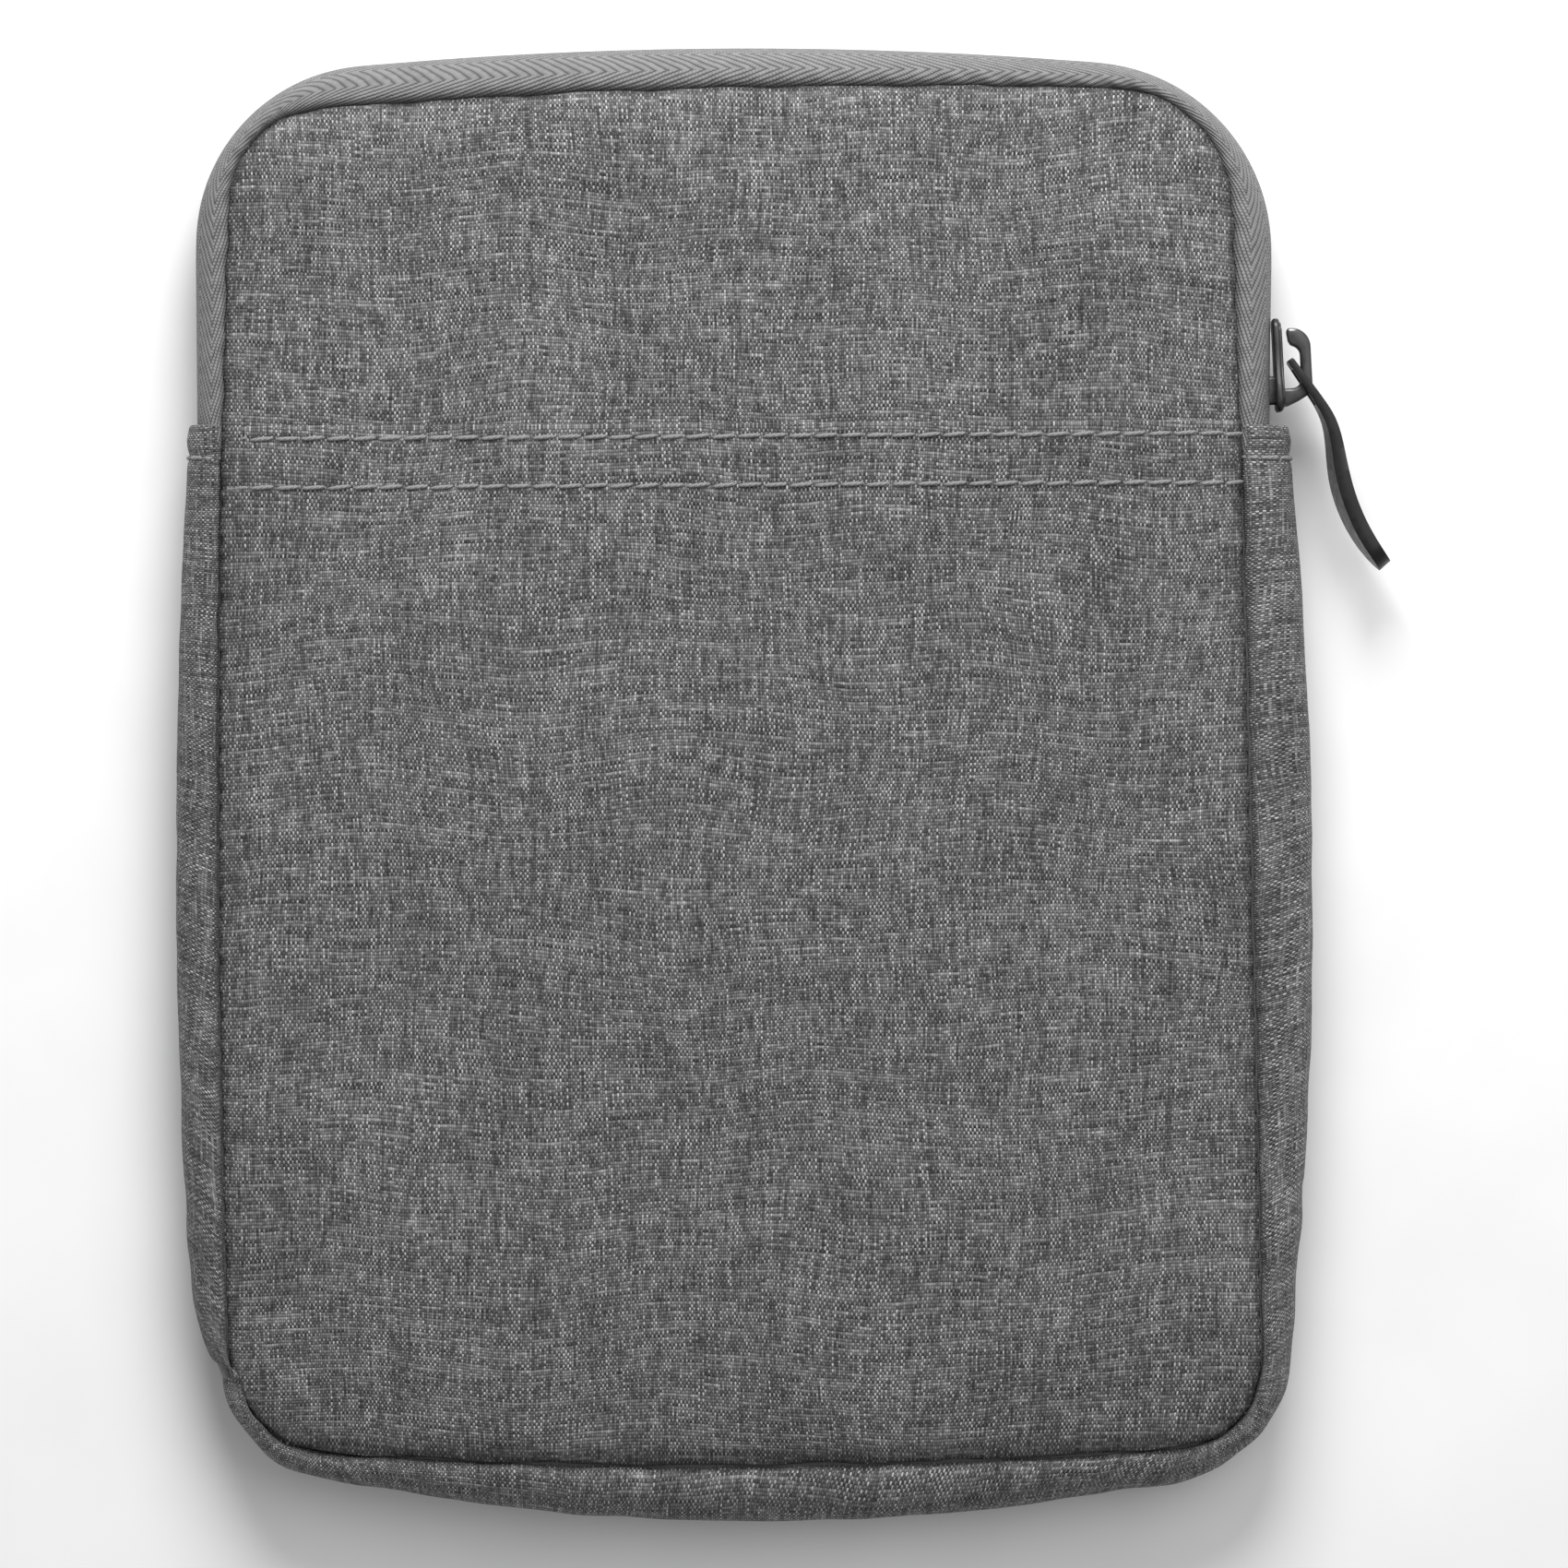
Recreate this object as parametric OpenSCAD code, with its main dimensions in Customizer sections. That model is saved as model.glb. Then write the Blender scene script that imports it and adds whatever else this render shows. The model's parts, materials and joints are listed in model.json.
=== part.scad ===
// Padded zip-round sleeve for a small tablet, lying flat on its back.
// +X is the side where the zip slider parks, +Y the zipped end, +Z out of the front face.
// The origin is the middle of the flat back face. All sizes are in millimetres.

/* [Sleeve] */
// Width of the padded body at its widest
sleeve_w = 160; // [154:1:168]
// Length of the body from the sewn end to the zipped end
sleeve_l = 208; // [200:1:220]
// Width of the zipped end across the zip tapes
zip_end_w = 151; // [146:0.5:153]
// How far the soft zipped end leans towards -X
lean = 1.6; // [0:0.1:2]
// Radius of the two corners at the zipped end
top_corner_r = 26; // [20:1:32]
// Radius of the two corners at the sewn end
bottom_corner_r = 20; // [16:1:26]
// How far the sewn end bows out between its corners
bottom_bow = 6.4; // [3:0.2:8]
// Clear height of the tablet compartment
cavity_t = 8.2; // [7:0.2:12]

/* [Layers] */
// Thickness of the woven outer fabric
fabric_t = 0.8; // [0.5:0.1:1]
// Thickness of the foam sheets
padding_t = 3.6; // [2:0.2:5]
// Thickness of the lining
lining_t = 0.5; // [0.3:0.1:0.6]
// Thickness of the foam-backed gusset strip
gusset_t = 1.3; // [1:0.1:1.4]
// Width of the fold-over binding on the inner seams
binding_w = 2.5; // [2:0.1:3]

/* [Pocket] */
// Where the pocket's hem ends, measured from the middle of the sleeve
hem_y = 50.4; // [40:0.2:52]
// Depth of the folded hem
hem_w = 8.6; // [7:0.2:12]
// Length of one stitch
stitch_pitch = 3.6; // [3:0.1:4]

/* [Zip] */
// Where the gusset ends and the zip begins
zip_start_y = 50.4; // [48:0.2:52]
// Where the front folds back when the zip is open
fold_y = 67; // [66:0.5:70]
// Thickness of the zip tape
tape_t = 0.6; // [0.4:0.1:0.6]
// Slit between the two tapes, which the slider's post runs in
slit_w = 1.8; // [1.6:0.1:2]
// Length of the slider
slider_l = 13.1; // [12:0.1:13.5]
// Width of the slider at its wide end
slider_w = 8.6; // [7.6:0.1:9]
// Tilt of the parked slider, out of line with the tape
slider_tilt = 3; // [0:0.5:3]

/* [Puller] */
// Length of the puller along its curve
puller_l = 32; // [28:1:36]
// Width of the puller across its flat
puller_w = 6.8; // [6:0.2:8]
// Thickness of the puller at its middle
puller_t = 2.6; // [1.8:0.1:2.8]

/* [Hidden] */
$fn = 48;

melange = "dimgray";
foam = "gainsboro";
inner_cloth = "slategray";
tape_grey = "silver";
coil_grey = "darkgray";
dark_metal = [0.16, 0.16, 0.17];

// levels of the stacked layers
back_pad_z = fabric_t;
back_lining_z = back_pad_z + padding_t;
cavity_z = back_lining_z + lining_t;
front_lining_z = cavity_z + cavity_t;
front_pad_z = front_lining_z + lining_t;
front_z = front_pad_z + padding_t;
front_top_z = front_z + fabric_t;
mid_z = (back_pad_z + front_z) / 2;
pocket_gap = 0.2;
pocket_lining_t = 0.3;

// outlines
half_l = sleeve_l / 2;
zip_half_w = zip_end_w / 2;
top_bow = 1.8;
gusset_top_half_w = zip_half_w + 1.9;
corner_half_w = sleeve_w / 2 - 3.8;
belly_y = -45;
belly_r = 36;
face_shift = -1;
zip_face_inset = 5;
gusset_face_inset = 7;
side_band_h = 8;
pad_inset = 3;
fold_gap = 0.4;
tape_gap = 0.1;
slab_h = 0.1;
reach = 400;

// zip
coil_t = 1.4;
coil_w = 1.4;
tape_x = zip_half_w - lean;
slider_y = 59;
plate_t = 1.2;
plate_gap = 0.45;
inner_plate_x = -2.6;
inner_plate_t = 1.1;
bridge_w = 2.4;
puller_pivot = [3, 0.1];
eye_l = 6.8;
eye_w = 3.4;
crossbar_r = 0.7;

// The puller is straight along its eye, turns in, runs straight again and then turns out towards
// its tip: the headings of its middle line in degrees, and where each stretch ends.
heading_start = -55;
heading_mid = -82;
heading_end = -47;
turned_in = 0.38 * puller_l;
turning_out = 0.5 * puller_l;

// ---- outlines in plan ----

// points of a shallow parabola that bows towards +Y or -Y
function bow(half, rise, y) = [for (i = [-8 : 8]) [i / 8 * half, y + rise * (1 - pow(i / 8, 2))]];

// outside of the zip tapes
module zip_outline() {
    y = half_l - top_bow;
    translate([-lean, 0])
        hull() {
            for (side = [-1, 1]) {
                translate([side * (zip_half_w - top_corner_r), y - top_corner_r]) circle(top_corner_r);
                translate([side * (zip_half_w - 2), 0]) circle(2);
            }
            polygon(bow(zip_half_w - top_corner_r, top_bow, y));
        }
}

// outside of the gusset
module gusset_outline() {
    y = -half_l + bottom_bow;
    hull() {
        for (side = [-1, 1]) {
            translate([side * (gusset_top_half_w - 4) - 0.8 * lean, zip_start_y + 10]) circle(4);
            translate([side * (sleeve_w / 2 - belly_r), belly_y]) circle(belly_r);
            translate([side * (corner_half_w - bottom_corner_r), y + bottom_corner_r])
                circle(bottom_corner_r);
        }
        polygon(bow(corner_half_w - bottom_corner_r, -bottom_bow, y));
    }
}

// seam line of the front and the back, where the panels meet the sides
module face_outline() {
    translate([face_shift, 0])
        hull() {
            offset(delta = -zip_face_inset) zip_outline();
            offset(delta = -gusset_face_inset) gusset_outline();
        }
}

// ---- cutting regions ----

module above(y) { translate([-reach / 2, y, -1]) cube([reach, reach, 60]); }
module below(y) { translate([-reach / 2, y - reach, -1]) cube([reach, reach, 60]); }
module between_z(low, high) { translate([-reach / 2, -reach / 2, low]) cube([reach, reach, high - low]); }

// ---- building blocks ----

// flat layer inside the seam line
module layer(z, thickness, inset) {
    translate([0, 0, z]) linear_extrude(thickness) offset(delta = -inset) face_outline();
}

// solid that swells from the seam lines to the outline given as its child
module swelling(inset) {
    hull() {
        translate([0, 0, back_pad_z]) linear_extrude(slab_h) offset(delta = -1.4 * inset) face_outline();
        translate([0, 0, mid_z - side_band_h / 2])
            linear_extrude(side_band_h) offset(delta = -inset) children();
        translate([0, 0, front_z - slab_h])
            linear_extrude(slab_h) offset(delta = -1.4 * inset) face_outline();
    }
}

// wall between two swellings
module side_wall(inset, thickness) {
    difference() {
        swelling(inset) children();
        swelling(inset + thickness) children();
    }
}

// band along the zip, such as a row of coil
module zip_ring(z, height, inset, thickness) {
    translate([0, 0, z])
        linear_extrude(height)
            difference() {
                offset(delta = -inset) zip_outline();
                offset(delta = -inset - thickness) zip_outline();
            }
}

// binding folded over the seam allowance, just inside the seam
module binding(z) {
    translate([0, 0, z])
        linear_extrude(binding_w)
            difference() {
                offset(delta = -pad_inset) face_outline();
                offset(delta = -pad_inset - 1.2) face_outline();
            }
}

module front_tape() {
    intersection() {
        side_wall(0, tape_t) zip_outline();
        between_z(mid_z + slit_w / 2, front_z);
    }
}

module front_coil() {
    zip_ring(mid_z + slit_w / 2, coil_w, tape_t + 0.1, coil_t);
}

// one row of short slanted stitches from x0 to x1
module stitch_row(x0, x1, y, z) {
    count = floor((x1 - x0) / stitch_pitch);
    for (i = [0 : count - 1])
        translate([x0 + (i + 0.5) * stitch_pitch, y, z])
            rotate([0, 0, 3])
                cube([0.85 * stitch_pitch, 0.5, 0.3], center = true);
}

// ---- back ----

module back_panel() {
    color(melange) layer(0, fabric_t, 0);
}

module back_padding() {
    color(foam) layer(back_pad_z, padding_t, pad_inset);
}

module back_lining() {
    color(inner_cloth) layer(back_lining_z, lining_t, pad_inset);
}

module back_seam_binding() {
    color(inner_cloth) binding(cavity_z);
}

// ---- front, below the fold ----

module front_panel() {
    color(melange)
        intersection() {
            layer(front_z, fabric_t, 0);
            below(fold_y);
        }
}

module front_padding() {
    color(foam)
        intersection() {
            layer(front_pad_z, padding_t, pad_inset);
            below(fold_y);
        }
}

module front_lining() {
    color(inner_cloth)
        intersection() {
            layer(front_lining_z, lining_t, pad_inset);
            below(fold_y);
        }
}

module front_seam_binding() {
    color(inner_cloth)
        intersection() {
            binding(front_lining_z - binding_w);
            below(fold_y);
        }
}

// ---- slip pocket on the front ----

// the panel's top edge is folded in, so its hem fills the gap to the front panel
module pocket_panel() {
    color(melange)
        intersection() {
            union() {
                layer(front_top_z + pocket_gap + pocket_lining_t, fabric_t, 0);
                intersection() {
                    layer(front_top_z + pocket_gap, pocket_lining_t, 0);
                    above(hem_y - hem_w);
                }
            }
            below(hem_y);
        }
}

module pocket_lining() {
    color(inner_cloth)
        intersection() {
            layer(front_top_z + pocket_gap, pocket_lining_t, 0);
            below(hem_y - hem_w);
        }
}

module pocket_hem_stitching() {
    z = front_top_z + pocket_gap + pocket_lining_t + fabric_t + 0.15;
    color(tape_grey)
        for (row_y = [hem_y - 1.4, hem_y - hem_w + 0.4])
            stitch_row(-zip_half_w + 3.5, tape_x - 4.5, row_y, z);
}

// ---- gusset round the sides and the sewn end ----

module gusset_band() {
    color(melange)
        intersection() {
            side_wall(0, gusset_t) gusset_outline();
            below(zip_start_y);
        }
}

module gusset_lining() {
    color(inner_cloth)
        intersection() {
            side_wall(gusset_t + 0.1, lining_t) gusset_outline();
            below(zip_start_y);
        }
}

// ---- zip ----

module zip_tape_back() {
    color(tape_grey)
        intersection() {
            side_wall(0, tape_t) zip_outline();
            between_z(back_pad_z, mid_z - slit_w / 2);
            above(zip_start_y + tape_gap);
        }
}

module zip_coil_back() {
    color(coil_grey)
        intersection() {
            zip_ring(mid_z - slit_w / 2 - coil_w, coil_w, tape_t + 0.1, coil_t);
            above(zip_start_y + tape_gap);
        }
}

// the two ends of the front tape, below the fold
module zip_tape_front() {
    color(tape_grey)
        intersection() {
            front_tape();
            above(zip_start_y + tape_gap);
            below(fold_y);
        }
}

module zip_coil_front() {
    color(coil_grey)
        intersection() {
            front_coil();
            above(zip_start_y + tape_gap);
            below(fold_y);
        }
}

// ---- flap: the front above the fold ----

module flap_panel() {
    color(melange)
        intersection() {
            layer(front_z, fabric_t, 0);
            above(fold_y + fold_gap);
        }
}

module flap_padding() {
    color(foam)
        intersection() {
            layer(front_pad_z, padding_t, pad_inset);
            above(fold_y + fold_gap);
        }
}

module flap_lining() {
    color(inner_cloth)
        intersection() {
            layer(front_lining_z, lining_t, pad_inset);
            above(fold_y + fold_gap);
        }
}

module flap_seam_binding() {
    color(inner_cloth)
        intersection() {
            binding(front_lining_z - binding_w);
            above(fold_y + fold_gap);
        }
}

module flap_zip_tape() {
    color(tape_grey)
        intersection() {
            front_tape();
            above(fold_y + fold_gap);
        }
}

module flap_zip_coil() {
    color(coil_grey)
        intersection() {
            front_coil();
            above(fold_y + fold_gap);
        }
}

// ---- slider and puller ----
// The slider's own frame is on the outside of the tape, halfway along the slider:
// +X points away from the sleeve and +Y along the zip.

module slider_frame() {
    translate([tape_x, slider_y, mid_z]) rotate([0, 0, slider_tilt]) children();
}

// turns an outline drawn along the zip (x) and across it (y) into a plate that is thick along X
module plate(x, thickness) {
    translate([x, 0, 0]) rotate([90, 0, 90]) linear_extrude(thickness) children();
}

// heart-like plate, wide at the end that leads when the zip is closed
module plate_outline() {
    hull()
        for (side = [-1, 1]) {
            translate([-slider_l / 2 + 1.8, side * (slider_w / 2 - 1.8)]) circle(1.8);
            translate([slider_l / 2 - 1.4, side * (slider_w / 2 - 2.4)]) circle(1.4);
        }
}

// guide rails along both edges of the inner plate
module rail_outline() {
    intersection() {
        plate_outline();
        for (side = [-1, 1])
            translate([0, side * (slider_w / 2 - 0.9)]) square([slider_l, 1.2], center = true);
    }
}

module post_outline() {
    hull() {
        translate([-slider_l / 2 + 1.6, 0]) circle(0.6);
        translate([-slider_l / 2 + 4.6, 0]) circle(0.5);
    }
}

// hook over the outer plate, open beside the plate at its far end
module bridge_outline() {
    face_x = plate_gap + plate_t;
    outer_x = face_x + 4.1;
    difference() {
        hull() {
            translate([outer_x - 2.6, 2.5]) circle(2.6);
            translate([outer_x - 1.7, -3]) circle(1.7);
            translate([face_x + 1.2, 4.2]) circle(0.8);
            translate([plate_gap + 0.4, -5.9]) square([1.2, 2.4]);
        }
        hull() {
            translate([outer_x - 2.7, 1.4]) circle(1.2);
            translate([outer_x - 2.7, -2.2]) circle(1.2);
            translate([face_x, -3.4]) square([0.8, 6.1]);
        }
        translate([face_x, -3.4]) rotate([0, 0, -3]) square([0.7, 10]);
    }
}

module zip_slider() {
    color(dark_metal)
        slider_frame() {
            plate(plate_gap, plate_t) plate_outline();
            plate(inner_plate_x - inner_plate_t, inner_plate_t) plate_outline();
            plate(inner_plate_x, 1.4) rail_outline();
            plate(inner_plate_x, plate_gap - inner_plate_x) post_outline();
            translate([0, 0, -bridge_w / 2]) linear_extrude(bridge_w) bridge_outline();
        }
}

// direction of the puller's middle line at a distance s along it
function heading(s) = lookup(s, [
    [eye_l, heading_start],
    [turned_in, heading_mid],
    [turning_out, heading_mid],
    [puller_l, heading_end]
]);
function along(angle) = [cos(angle), sin(angle)];
function left_of(angle) = [-sin(angle), cos(angle)];

// half of the puller's thickness, thin at the eye and at the tip
function half_t(s) = puller_t / 2 * (0.62 + 0.38 * sin(180 * min(1, max(0, (s - 3) / (puller_l - 3)))));

puller_step = 1;
puller_line = [
    for (s = 0, p = [0, 0]; s <= puller_l; p = p + puller_step * along(heading(s + puller_step / 2)),
         s = s + puller_step) [s, p]
];

// curved strip between two distances along the puller
module puller_strip(from, to, spare) {
    run = [for (q = puller_line) if (q[0] >= from && q[0] <= to) q];
    left = [for (q = run) q[1] + (half_t(q[0]) + spare) * left_of(heading(q[0]))];
    right = [for (q = run) q[1] - (half_t(q[0]) + spare) * left_of(heading(q[0]))];
    last = len(right) - 1;
    polygon(concat(left, [for (i = [last : -1 : 0]) right[i]]));
}

// the puller's width, seen square to its flat: narrow at the eye, round at the tip
module puller_width() {
    hull() {
        translate([0, 0]) square([2 * crossbar_r, puller_w - 1.2], center = true);
        for (side = [-1, 1]) translate([-9, side * (puller_w / 2 - 1)]) circle(1);
        translate([-puller_l + 5.2, 0]) circle(puller_w / 2 - 0.4);
    }
}

module zip_puller() {
    color(dark_metal)
        slider_frame()
            translate([puller_pivot[0], puller_pivot[1], 0])
                rotate([0, 0, -slider_tilt]) {
                    cylinder(h = puller_w - 1.2, r = crossbar_r, center = true);
                    difference() {
                        intersection() {
                            linear_extrude(puller_w, center = true) puller_strip(0, puller_l, 0);
                            plate(-10, 60) puller_width();
                        }
                        linear_extrude(eye_w, center = true)
                            difference() {
                                puller_strip(0, eye_l, 1);
                                circle(crossbar_r - 0.1);
                            }
                    }
                }
}

back_panel();
back_padding();
back_lining();
back_seam_binding();
front_panel();
front_padding();
front_lining();
front_seam_binding();
pocket_panel();
pocket_lining();
pocket_hem_stitching();
gusset_band();
gusset_lining();
zip_tape_back();
zip_coil_back();
zip_tape_front();
zip_coil_front();
flap_panel();
flap_padding();
flap_lining();
flap_seam_binding();
flap_zip_tape();
flap_zip_coil();
zip_slider();
zip_puller();
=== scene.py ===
"""Looks of a padded, zip-round tablet sleeve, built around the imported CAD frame.

Lengths in the builders below are millimetres in the row frame; mesh_from() turns them into metres.
"""
import json
import math

import bpy
import numpy as np
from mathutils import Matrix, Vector, noise


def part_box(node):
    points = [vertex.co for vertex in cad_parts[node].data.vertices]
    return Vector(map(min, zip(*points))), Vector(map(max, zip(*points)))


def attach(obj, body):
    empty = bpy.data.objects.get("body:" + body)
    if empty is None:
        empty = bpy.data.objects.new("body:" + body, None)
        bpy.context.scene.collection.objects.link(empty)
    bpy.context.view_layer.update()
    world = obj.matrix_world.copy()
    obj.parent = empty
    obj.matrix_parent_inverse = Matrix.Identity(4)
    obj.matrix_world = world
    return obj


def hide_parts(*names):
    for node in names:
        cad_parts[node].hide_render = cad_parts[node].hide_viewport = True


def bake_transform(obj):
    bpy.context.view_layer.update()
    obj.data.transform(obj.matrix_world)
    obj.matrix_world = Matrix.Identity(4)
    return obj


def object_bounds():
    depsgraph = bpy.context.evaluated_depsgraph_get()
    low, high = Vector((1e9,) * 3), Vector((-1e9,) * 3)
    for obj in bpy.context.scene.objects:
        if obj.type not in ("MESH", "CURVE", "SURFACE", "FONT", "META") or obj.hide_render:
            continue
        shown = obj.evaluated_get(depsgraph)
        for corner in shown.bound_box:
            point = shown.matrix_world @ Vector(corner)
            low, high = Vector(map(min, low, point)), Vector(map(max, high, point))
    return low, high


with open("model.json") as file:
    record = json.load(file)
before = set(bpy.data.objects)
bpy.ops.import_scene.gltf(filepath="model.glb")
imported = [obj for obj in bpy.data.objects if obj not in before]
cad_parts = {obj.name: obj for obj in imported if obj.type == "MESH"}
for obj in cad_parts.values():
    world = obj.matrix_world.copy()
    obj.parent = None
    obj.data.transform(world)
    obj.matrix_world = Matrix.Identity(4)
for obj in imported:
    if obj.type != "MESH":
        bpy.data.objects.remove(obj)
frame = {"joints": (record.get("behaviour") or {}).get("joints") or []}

cad_bounds = [list(corner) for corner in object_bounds()]
MM = 0.001


def node_box(node):
    """Lowest and highest corner of a CAD node, in millimetres."""
    low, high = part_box(node)
    return np.array(low) / MM, np.array(high) / MM


joints = {j["name"]: j for j in frame["joints"]}
flap_low, flap_high = node_box("flap_panel")
pocket_low, pocket_high = node_box("pocket_panel")
gusset_low, gusset_high = node_box("gusset_band")
tape_low, tape_high = node_box("zip_tape_back")
_, front_tape_high = node_box("zip_tape_front")
slider_low, slider_high = node_box("zip_slider")
back_low, _ = node_box("back_panel")
back_lining_low, back_lining_high = node_box("back_lining")
front_lining_low, front_lining_high = node_box("front_lining")
stitch_low, _ = node_box("pocket_hem_stitching")
hem_y = pocket_high[1]
zip_start_y = gusset_high[1]
mid_z = (slider_low[2] + slider_high[2]) / 2

# levels of the soft shell, and how far its seams are drawn in
FRONT_SEAM_Z = mid_z + 6.3
BACK_SEAM_Z = 1.3
FRONT_TOP_Z = flap_high[2] - 0.3
SEAM_DEPTH = 1.3
# thickness of the cloths
CLOTH_T = 0.6
THIN_CLOTH_T = 0.35
LINING_T = 0.3
POCKET_LINING_T = 0.2
TAPE_T = 0.5
# the tape's raw edge turns in under the cloth: how far in and how far down
TAPE_TUCK = ((1.9, 1.7), (0.3, 0.8))
COIL_PITCH = 1.3
COIL_THREAD_R = 0.3
THREAD_R = 0.31
# the rows of stitches on the pocket's hem, below its fold, and across the gusset's folded ends
HEM_ROWS = (1.45, 8.3)
HEM_PITCH = 3.59
END_STITCH = 3.9
END_STITCH_L, END_PITCH = 2.9, 3.3
# rows and columns of the cloth meshes
FRONT_GRID = (210, 150)
BACK_GRID = (150, 110)
POCKET_GRID = (190, 150)
POCKET_LINING_GRID = (80, 60)
LINING_GRID = (120, 90)
FOAM_GRID = (90, 70)
GUSSET_RUNGS = 560


# ---------------------------------------------------------------- camera, light and floor

def add_camera():
    low, high = (np.array(c) for c in cad_bounds)
    centre = (low + high) / 2
    distance = 1.3
    framed_height = (high[1] - low[1]) * 1.0625
    data = bpy.data.cameras.new("camera")
    data.sensor_width = 36
    data.lens = data.sensor_width * distance / framed_height
    data.clip_end = 20
    camera = bpy.data.objects.new("camera", data)
    camera.location = (centre[0], centre[1], distance + mid_z * MM)
    bpy.context.scene.collection.objects.link(camera)
    bpy.context.scene.camera = camera


def add_area_light(name, location, target, size, power):
    data = bpy.data.lights.new(name, "AREA")
    data.shape = "DISK"
    data.size = size
    data.energy = power
    light = bpy.data.objects.new(name, data)
    light.location = location
    light.rotation_euler = (Vector(target) - Vector(location)).to_track_quat("-Z", "Y").to_euler()
    bpy.context.scene.collection.objects.link(light)


def add_studio():
    scene = bpy.context.scene
    scene.view_settings.view_transform = "Standard"
    world = bpy.data.worlds.new("studio")
    world.use_nodes = True
    background = world.node_tree.nodes["Background"]
    background.inputs["Color"].default_value = (1, 1, 1, 1)
    background.inputs["Strength"].default_value = 0.37
    scene.world = world
    add_area_light("key", (0.0, 0.54, 0.42), (0, 0.03, 0), 0.4, 5.3)
    add_area_light("fill", (0.4, 0.3, 0.9), (0, 0, 0), 0.8, 2.8)

    mesh = bpy.data.meshes.new("floor")
    half = 3.0
    corners = [(-half, -half, 0), (half, -half, 0), (half, half, 0), (-half, half, 0)]
    mesh.from_pydata(corners, [], [(0, 1, 2, 3)])
    floor = bpy.data.objects.new("floor", mesh)
    floor.location.z = cad_bounds[0][2] - 0.0002
    scene.collection.objects.link(floor)
    floor.data.materials.append(floor_material())


# ---------------------------------------------------------------- node helpers

class Nodes:
    """Short calls that add and link shader nodes to one material."""

    def __init__(self, name):
        self.material = bpy.data.materials.new(name)
        self.material.use_nodes = True
        self.tree = self.material.node_tree
        self.shader = self.tree.nodes["Principled BSDF"]

    def feed(self, socket, value):
        if isinstance(value, bpy.types.NodeSocket):
            self.tree.links.new(value, socket)
        else:
            socket.default_value = value

    def math(self, operation, a, b=0.0, c=0.0):
        node = self.tree.nodes.new("ShaderNodeMath")
        node.operation = operation
        for socket, value in zip(node.inputs, (a, b, c)):
            self.feed(socket, value)
        return node.outputs[0]

    def times(self, a, b):
        return self.math("MULTIPLY", a, b)

    def plus(self, a, b):
        return self.math("ADD", a, b)

    def minus(self, a, b):
        return self.math("SUBTRACT", a, b)

    def over(self, a, b):
        return self.math("DIVIDE", a, b)

    def sine(self, a):
        return self.math("SINE", a)

    def scaled(self, a, factor, b):
        """a times factor, plus b."""
        return self.math("MULTIPLY_ADD", a, factor, b)

    def uv(self, layer="cloth"):
        node = self.tree.nodes.new("ShaderNodeUVMap")
        node.uv_map = layer
        split = self.tree.nodes.new("ShaderNodeSeparateXYZ")
        self.tree.links.new(node.outputs[0], split.inputs[0])
        return split.outputs[0], split.outputs[1]

    def object_place(self):
        return self.tree.nodes.new("ShaderNodeTexCoord").outputs["Object"]

    def vector(self, x, y, z=0.0):
        node = self.tree.nodes.new("ShaderNodeCombineXYZ")
        for socket, value in zip(node.inputs, (x, y, z)):
            self.feed(socket, value)
        return node.outputs[0]

    def noise(self, place, scale, detail=2.0, roughness=0.5):
        node = self.tree.nodes.new("ShaderNodeTexNoise")
        self.feed(node.inputs["Vector"], place)
        node.inputs["Scale"].default_value = scale
        node.inputs["Detail"].default_value = detail
        node.inputs["Roughness"].default_value = roughness
        return node.outputs["Fac"]

    def white(self, place):
        node = self.tree.nodes.new("ShaderNodeTexWhiteNoise")
        node.noise_dimensions = "3D"
        self.feed(node.inputs["Vector"], place)
        return node.outputs["Value"]

    def spread(self, value, low, high, to_low=0.0, to_high=1.0):
        """Maps low..high to to_low..to_high, clamped."""
        node = self.tree.nodes.new("ShaderNodeMapRange")
        self.feed(node.inputs["Value"], value)
        for key, number in zip(("From Min", "From Max", "To Min", "To Max"), (low, high, to_low, to_high)):
            node.inputs[key].default_value = number
        return node.outputs["Result"]

    def blend(self, factor, a, b):
        return self.scaled(factor, self.minus(b, a), a)

    def ramp(self, value, stops):
        """Colour ramp; each stop is (position, grey or colour)."""
        node = self.tree.nodes.new("ShaderNodeValToRGB")
        elements = node.color_ramp.elements
        while len(elements) < len(stops):
            elements.new(0.5)
        for element, (place, colour) in zip(elements, stops):
            element.position = place
            rgb = (colour,) * 3 if isinstance(colour, float) else colour
            element.color = (*rgb, 1)
        self.feed(node.inputs["Fac"], value)
        return node.outputs["Color"]

    def seam_painted_shade(self, depth, width):
        """Painted shade: darker close to a seam, standing in for the shade in the seam's valley; 1 away
        from it.
        """
        away, _ = self.uv("edge")
        rough = self.scaled(self.noise(self.object_place(), 900.0, 2.0), width, away)
        return self.spread(rough, width * 0.5, width * 1.6, 1.0 - depth, 1.0)

    def bump(self, height, distance, strength=1.0):
        node = self.tree.nodes.new("ShaderNodeBump")
        node.inputs["Distance"].default_value = distance
        node.inputs["Strength"].default_value = strength
        self.feed(node.inputs["Height"], height)
        return node.outputs["Normal"]

    def finish(self, **sockets):
        for name, value in sockets.items():
            self.feed(self.shader.inputs[name.replace("_", " ")], value)
        return self.material


# ---------------------------------------------------------------- materials

WARP_PITCH = 0.3 * MM
WEFT_PITCH = 0.46 * MM
RIB_PITCH = 1.7 * MM
RIB_SLANT = 2.1
PICK_PITCH = 0.52 * MM
TAPE_ZONE = 3.0 * MM


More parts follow.
